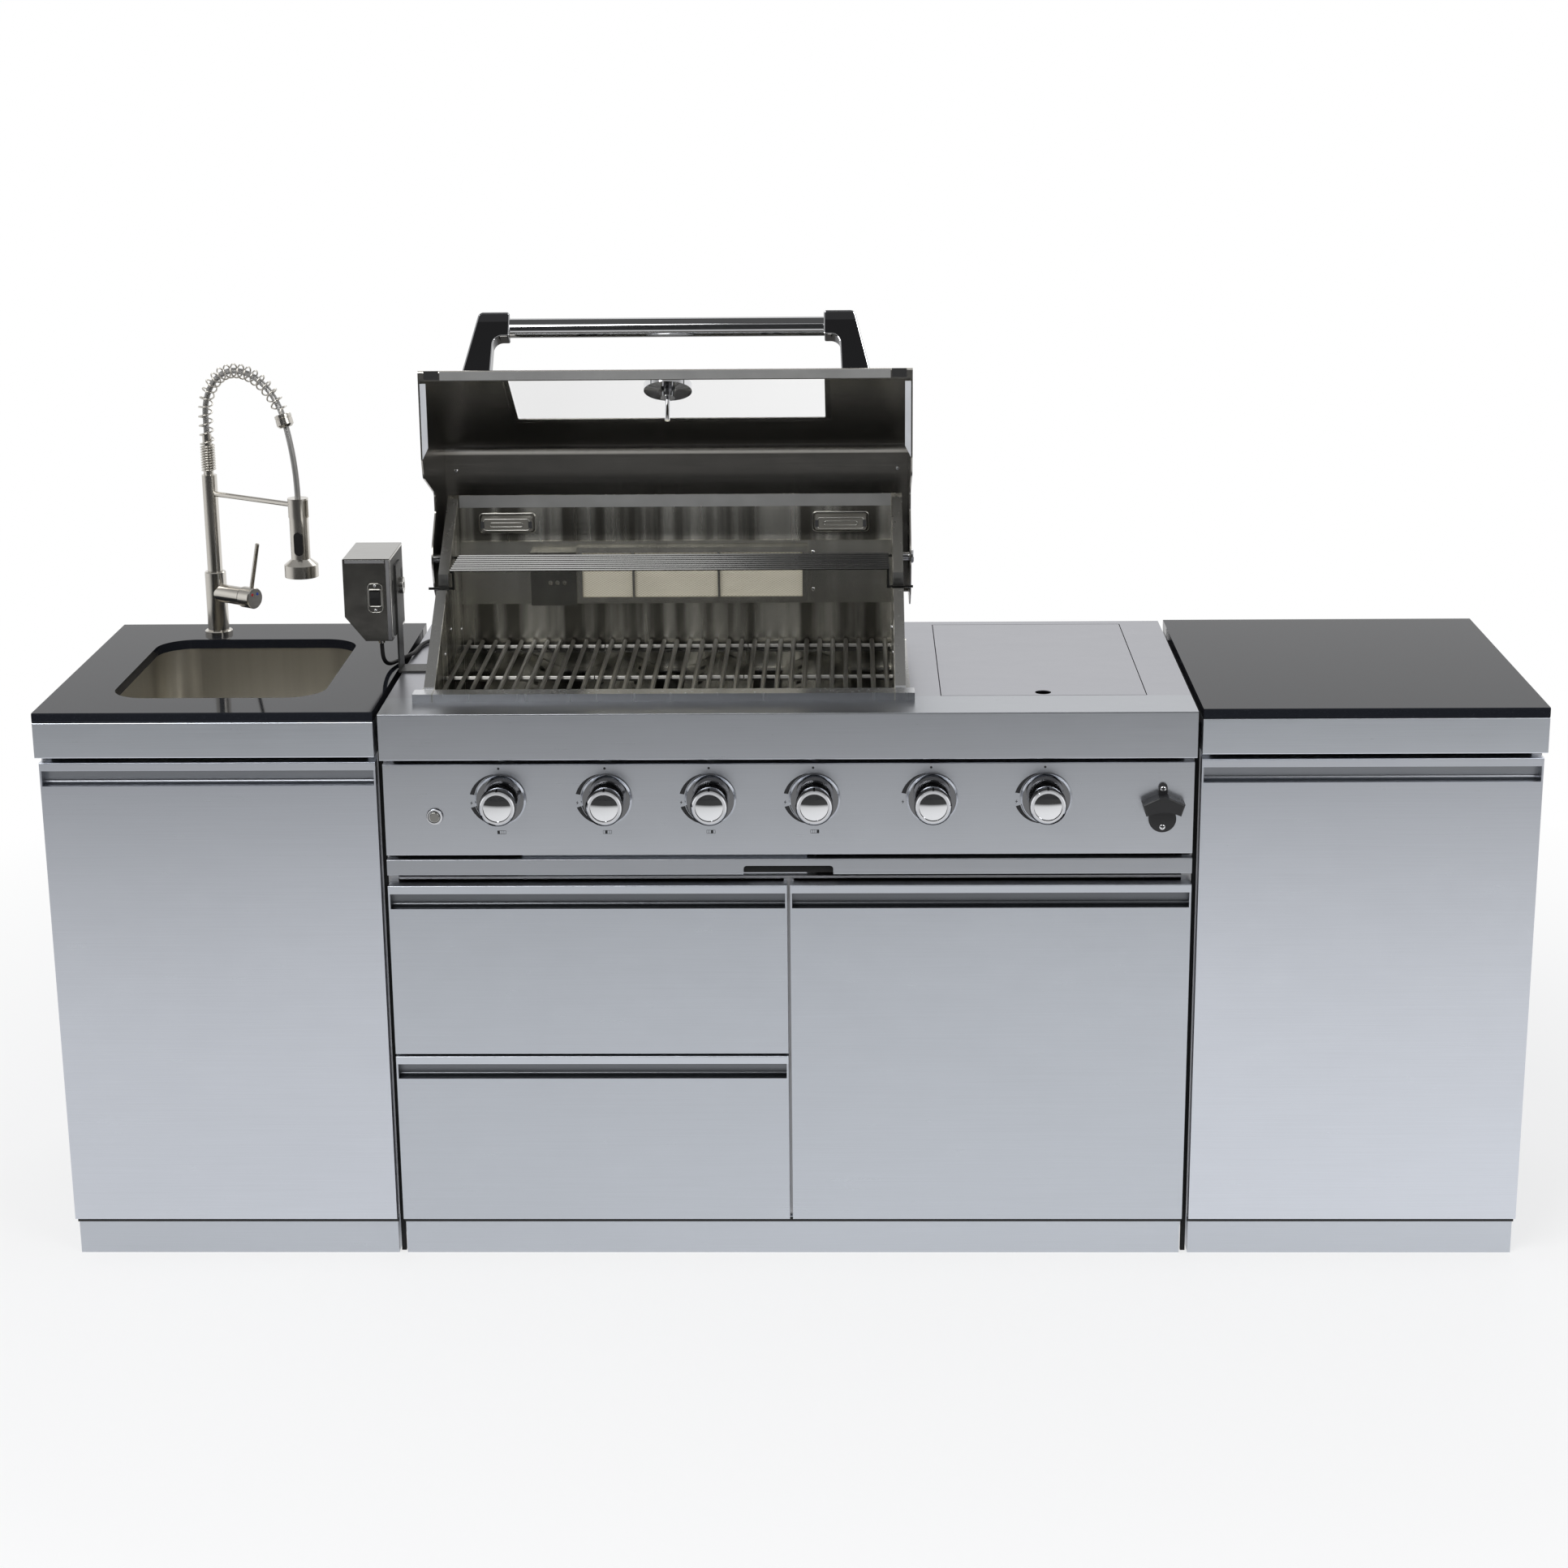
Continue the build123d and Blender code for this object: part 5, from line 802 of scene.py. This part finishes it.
# the hood's window panel: a point on its lip and the way it runs, to the rear and down
hoodPanel = {"x": -200, "lip": (292, 1448), "run": (0.8476, -0.5307)}
panelRun = np.array((0, *hoodPanel["run"]))
lipAt = np.array(at(hoodPanel["x"], *hoodPanel["lip"]))

# bright chrome bead along the front edges of the handle's brackets, a painted highlight, drawn in at the top to stay
# within them
grip = {"front": 29, "top": 112.3, "base": 0.8, "span": 335, "slant": 26, "foot": 46, "bar": 260, "neck": 26,
        "low": 72, "off": 0.1, "bead": 1.3, "corners": [4, 8, 2, 2, 16, 3]}
gripOut = np.cross(panelX, panelRun)
gripAt = lipAt + grip["front"] / 1000 * panelRun
gripOutline = [(grip["bar"], grip["top"]), (grip["span"] - grip["slant"], grip["top"]),
               (grip["span"], grip["base"]), (grip["span"] - grip["foot"], grip["base"]),
               (grip["bar"] + grip["neck"], grip["low"]), (grip["bar"], grip["low"])]
beads = []
for way in (-1, 1):
    beadLine = rounded(gripOutline, grip["corners"]) * (way, 1)
    beads.append(wireLoop(beadLine, gripAt, panelX, gripOut, grip["off"], grip["bead"]))
joined("bracketHighlightBeads", beads, chrome, "hood", caps=False)

# strainer holes in the waste, in three rings, drawn as dark discs of painted shade
waste = {"rings": ((9, 6), (18, 12), (26, 18)), "below": 0.0030, "hole": 1.2, "thick": 0.15}
wasteLow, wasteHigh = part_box("sink_waste")
wasteMid = (np.array(wasteLow) + np.array(wasteHigh)) / 2
wasteSeat = (wasteMid[0], wasteMid[1], wasteHigh[2] - waste["below"])
holeSpots = [(ring * math.cos(a), ring * math.sin(a)) for ring, count in waste["rings"]
             for a in np.linspace(0, 2 * np.pi, count, endpoint=False)]
holes = [prism(dot * waste["hole"] + spot, wasteSeat, panelX, panelY, 0.0, waste["thick"]) for spot in holeSpots]
joined("wasteHoles", holes, shadowGap, "kitchen", smooth=False)

# tap: seam ring behind the lever cap drawn as a dark ring of painted shade, warm and cold dots on the cap; reach
# along the arm and height in metres
lever = {"seamReach": 0.0668, "seamZ": 1.020, "capReach": 0.0953, "capZ": 1.027, "apart": 0.006,
         "seam": [(0.0158, 0), (0.0167, 0.0001), (0.0167, 0.0011), (0.0158, 0.0012)],
         "dot": [(0.0026, 0), (0.0026, 0.0002), (0.0001, 0.0003)]}
seamAt = tapFoot + armWay * lever["seamReach"] + lever["seamZ"] * upZ
skin("leverSeam", turned(lever["seam"], seamAt, armWay), shadowGap, "kitchen")
capAt = tapFoot + armWay * lever["capReach"] + lever["capZ"] * upZ
for name, way, mat in (("warmDot", 1, redMark), ("coldDot", -1, blueMark)):
    dotGrid = turned(lever["dot"], capAt + way * lever["apart"] * tapSide, armWay, 20)
    skin(name, dotGrid, mat, "lever")
print("seals and tap marks set")

# tie round the cord coil: a thin band on a rounded loop about the bundle
tie = {"angle": 62, "inner": 24.6, "outer": 59.4, "wide": 8, "thick": 0.3, "round": 4, "under": 0.03, "over": 0.5}
across = np.array([math.cos(math.radians(tie["angle"])), math.sin(math.radians(tie["angle"])), 0])
along = np.array([-across[1], across[0], 0])
cordHalf = cordSize["radius"] * 1000
tieLow, tieHigh = cordZ - cordHalf - tie["under"], cordZ + cordSize["layer"] + cordHalf + tie["over"]
coilMid = np.array(at(cordSize["coilX"], cordSize["coilY"], (tieLow + tieHigh) / 2))
tieMid = coilMid + across * (tie["inner"] + tie["outer"]) / 2000
tieWide, tieTall = tie["outer"] - tie["inner"], tieHigh - tieLow
ringIn, ringOut = (prism(roundRect(tieWide + 2 * more, tieTall + 2 * more, tie["round"] + more), tieMid, across,
                         panelZ, 0, 0)[0] for more in (0, tie["thick"]))
halfWide = tie["wide"] / 2000 * along
band = np.stack([ringIn - halfWide, ringOut - halfWide, ringOut + halfWide, ringIn + halfWide], 1)
bandLoop = np.vstack([band, band[:1]])
skin("cordTie", bandLoop, blackPlastic, "kitchen", caps=False, smooth=False)

# dial on the hood: pale disc, ticks, plain numbers and a needle
# ticks by inner radius and half width, the needle by place, tail, tip and both half widths
dial = {"from": 90, "deep": 18, "face": 33, "faceThick": 0.25, "sweep": 270, "ticks": 31, "tickEnd": 31,
        "long": (26.5, 0.5), "short": (28.5, 0.28), "needle": (0.03, 7, 24, 1.2, 0.3), "print": (0.2, 0.45),
        "figures": 6, "figureRing": 21, "figureSize": 7.0, "figureLift": 0.35}
dialUp = panelRun / np.linalg.norm(panelRun)
dialOut = np.cross(panelX, dialUp)
dialAt = lipAt + (dial["from"] * dialUp + dial["deep"] * dialOut) / 1000
faceProfile = np.array([(dial["face"], 0), (dial["face"], dial["faceThick"]), (0.1, dial["faceThick"])]) / 1000
skin("dialFace", turned(faceProfile, dialAt, dialOut, 64), dialWhite, "hood")


def dialWay(share):  # direction of a place on the scale, clockwise from the low end
    a = math.radians(90 + dial["sweep"] / 2 - dial["sweep"] * share)
    return np.array([math.cos(a), math.sin(a)])


def dialStroke(share, start, end, startHalf, endHalf):  # a stroke along that direction
    p = dialWay(share)
    q = np.array([-p[1], p[0]])
    foot, head = q * startHalf, q * endHalf
    return np.array([p * start - foot, p * end - head, p * end + head, p * start + foot])


strokes = []
for k in range(dial["ticks"]):
    start, halfWidth = dial["long"] if k % 6 == 0 else dial["short"]
    strokes.append(dialStroke(k / (dial["ticks"] - 1), start, dial["tickEnd"], halfWidth, halfWidth))
share, tail, tip, tailHalf, tipHalf = dial["needle"]
strokes.append(dialStroke(share, -tail, tip, tailHalf, tipHalf))
strokeGrids = [prism(stroke, dialAt, panelX, dialUp, *dial["print"]) for stroke in strokes]
joined("dialTicks", strokeGrids, printInk, "hood", smooth=False)
for k in range(dial["figures"]):
    text = bpy.data.curves.new("figure%d" % k, "FONT")
    text.body = str(k + 1)
    text.size = dial["figureSize"]
    text.align_x = "CENTER"
    text.align_y = "CENTER"
    text.extrude = 0.1
    word = bpy.data.objects.new("figure%d" % k, text)
    scene.collection.objects.link(word)
    mesh = bpy.data.meshes.new_from_object(word.evaluated_get(bpy.context.evaluated_depsgraph_get()))
    bpy.data.objects.remove(word)
    flat = np.zeros(len(mesh.vertices) * 3)
    mesh.vertices.foreach_get("co", flat)
    flat = flat.reshape(-1, 3)
    flat += (*dialWay(k / (dial["figures"] - 1)) * dial["figureRing"], dial["figureLift"])
    points = dialAt + (flat[:, :1] * np.array(panelX) + flat[:, 1:2] * dialUp + flat[:, 2:] * dialOut) / 1000
    faces = [list(f.vertices) for f in mesh.polygons]
    piece("dialFigure%d" % (k + 1), points, faces, printInk, "hood", smooth=False)
print("dial and tie set")

studio = {"floor": 14.0, "key": 150, "fill": 60, "rim": 40, "card": 0.05, "overhead": 0.40, "sky": (0.32, 0.62),
          "far": (1.5, 2.9), "edge": (-4.0, -3.1, 0.07), "fall": (-3.1, -0.5, 0.76), "slant": (-1.3, 1.3, 0.84)}


def stageSheet(name, corners, mat):
    mesh = bpy.data.meshes.new(name)
    mesh.from_pydata(corners, [], [(0, 1, 2, 3)])
    mesh.materials.append(mat)
    obj = bpy.data.objects.new(name, mesh)
    scene.collection.objects.link(obj)
    return obj


# whether a ray is glossy, and whether it shows the stage: from the camera, glossy or through glass
def stageRays(w):
    camera = w.node("ShaderNodeLightPath", out="Is Camera Ray")
    kinds = camera.socket.node.outputs
    glossy = Wire(w.tree, kinds["Is Glossy Ray"])
    through = Wire(w.tree, kinds["Is Transmission Ray"])
    return glossy, camera.sum("MAXIMUM", glossy).sum("MAXIMUM", through)


# white floor paper that keeps the shadow near the object; past its front edge reflections see a dark room
def floorShade(w):
    glossy, seen = stageRays(w)
    coords = w.node("ShaderNodeTexCoord", out="Object")
    away = w.node("ShaderNodeVectorMath", out="Value", settings={"operation": "LENGTH"}, i0=coords)
    far = away.ramp(*studio["far"])
    sideways, ahead, up = coords.axes()
    paper = ahead.ramp(*studio["edge"]) * ahead.ramp(*studio["fall"]) * sideways.ramp(*studio["slant"])
    tone = (glossy * (1 - paper)).blend(rgb(1, 1, 1), rgb(0, 0, 0))
    lit = w.node("ShaderNodeBsdfDiffuse", Color=rgb(0.82, 0.82, 0.82))
    glow = w.node("ShaderNodeEmission", Color=tone, Strength=1.0)
    return w.node("ShaderNodeMixShader", i0=seen * (far * 0.35 + 0.65), i1=lit, i2=glow)


floorMat = bpy.data.materials.new("paleFloor")
floorMat.use_nodes = True
floorMat.node_tree.nodes.clear()
output = floorMat.node_tree.nodes.new("ShaderNodeOutputMaterial")
floorMat.node_tree.links.new(floorShade(Wire(floorMat.node_tree)).socket, output.inputs["Surface"])
reach = studio["floor"]
stageSheet("floor", [(-reach, -reach, 0), (reach, -reach, 0), (reach, reach, 0), (-reach, reach, 0)], floorMat)


def cardRecipe(w):
    return {"Base_Color": noise(w, (1, 1, 1)).blend(rgb(*[studio["card"] * 0.9] * 3), rgb(*[studio["card"]] * 3))}


cardMat = finish("darkCard", cardRecipe, Roughness=0.9)
card = stageSheet("darkCard", [(-11, -7.5, 0.01), (11, -7.5, 0.01), (11, -7.5, 7), (-11, -7.5, 7)], cardMat)
card.visible_camera = False
card.visible_diffuse = False
card.visible_shadow = False

world = bpy.data.worlds.new("studioWorld")
scene.world = world
world.use_nodes = True
sky = Wire(world.node_tree)
glossy, seen = stageRays(sky)
height = sky.node("ShaderNodeTexCoord", out="Generated").axes()[2]
shown = (glossy * height.ramp(*studio["sky"])).blend(rgb(1, 1, 1), rgb(*[studio["overhead"]] * 3))
back = world.node_tree.nodes["Background"]
world.node_tree.links.new(seen.blend(rgb(0.55, 0.56, 0.58), shown).socket, back.inputs["Color"])
back.inputs["Strength"].default_value = 1.0


def softbox(name, where, aim, size, power):
    data = bpy.data.lights.new(name, "AREA")
    data.shape = "RECTANGLE"
    data.size, data.size_y = size
    data.energy = power
    obj = bpy.data.objects.new(name, data)
    scene.collection.objects.link(obj)
    z = np.array(where, float) - np.array(aim, float)
    z /= np.linalg.norm(z)
    x = np.cross((0, 0, 1), z)
    x /= np.linalg.norm(x)
    y = np.cross(z, x)
    obj.matrix_world = Matrix(np.vstack([np.column_stack([x, y, z, where]), [0, 0, 0, 1]]).tolist())


softbox("key", (-2.2, -3.6, 4.6), (0, 0, 0.8), (3.5, 2.5), studio["key"])
softbox("fill", (3.2, -3.8, 3.0), (0, 0, 0.8), (2.5, 2.5), studio["fill"])
softbox("rim", (0.5, 3.2, 4.0), (0, 0, 1.0), (4.0, 1.5), studio["rim"])
print("studio set")
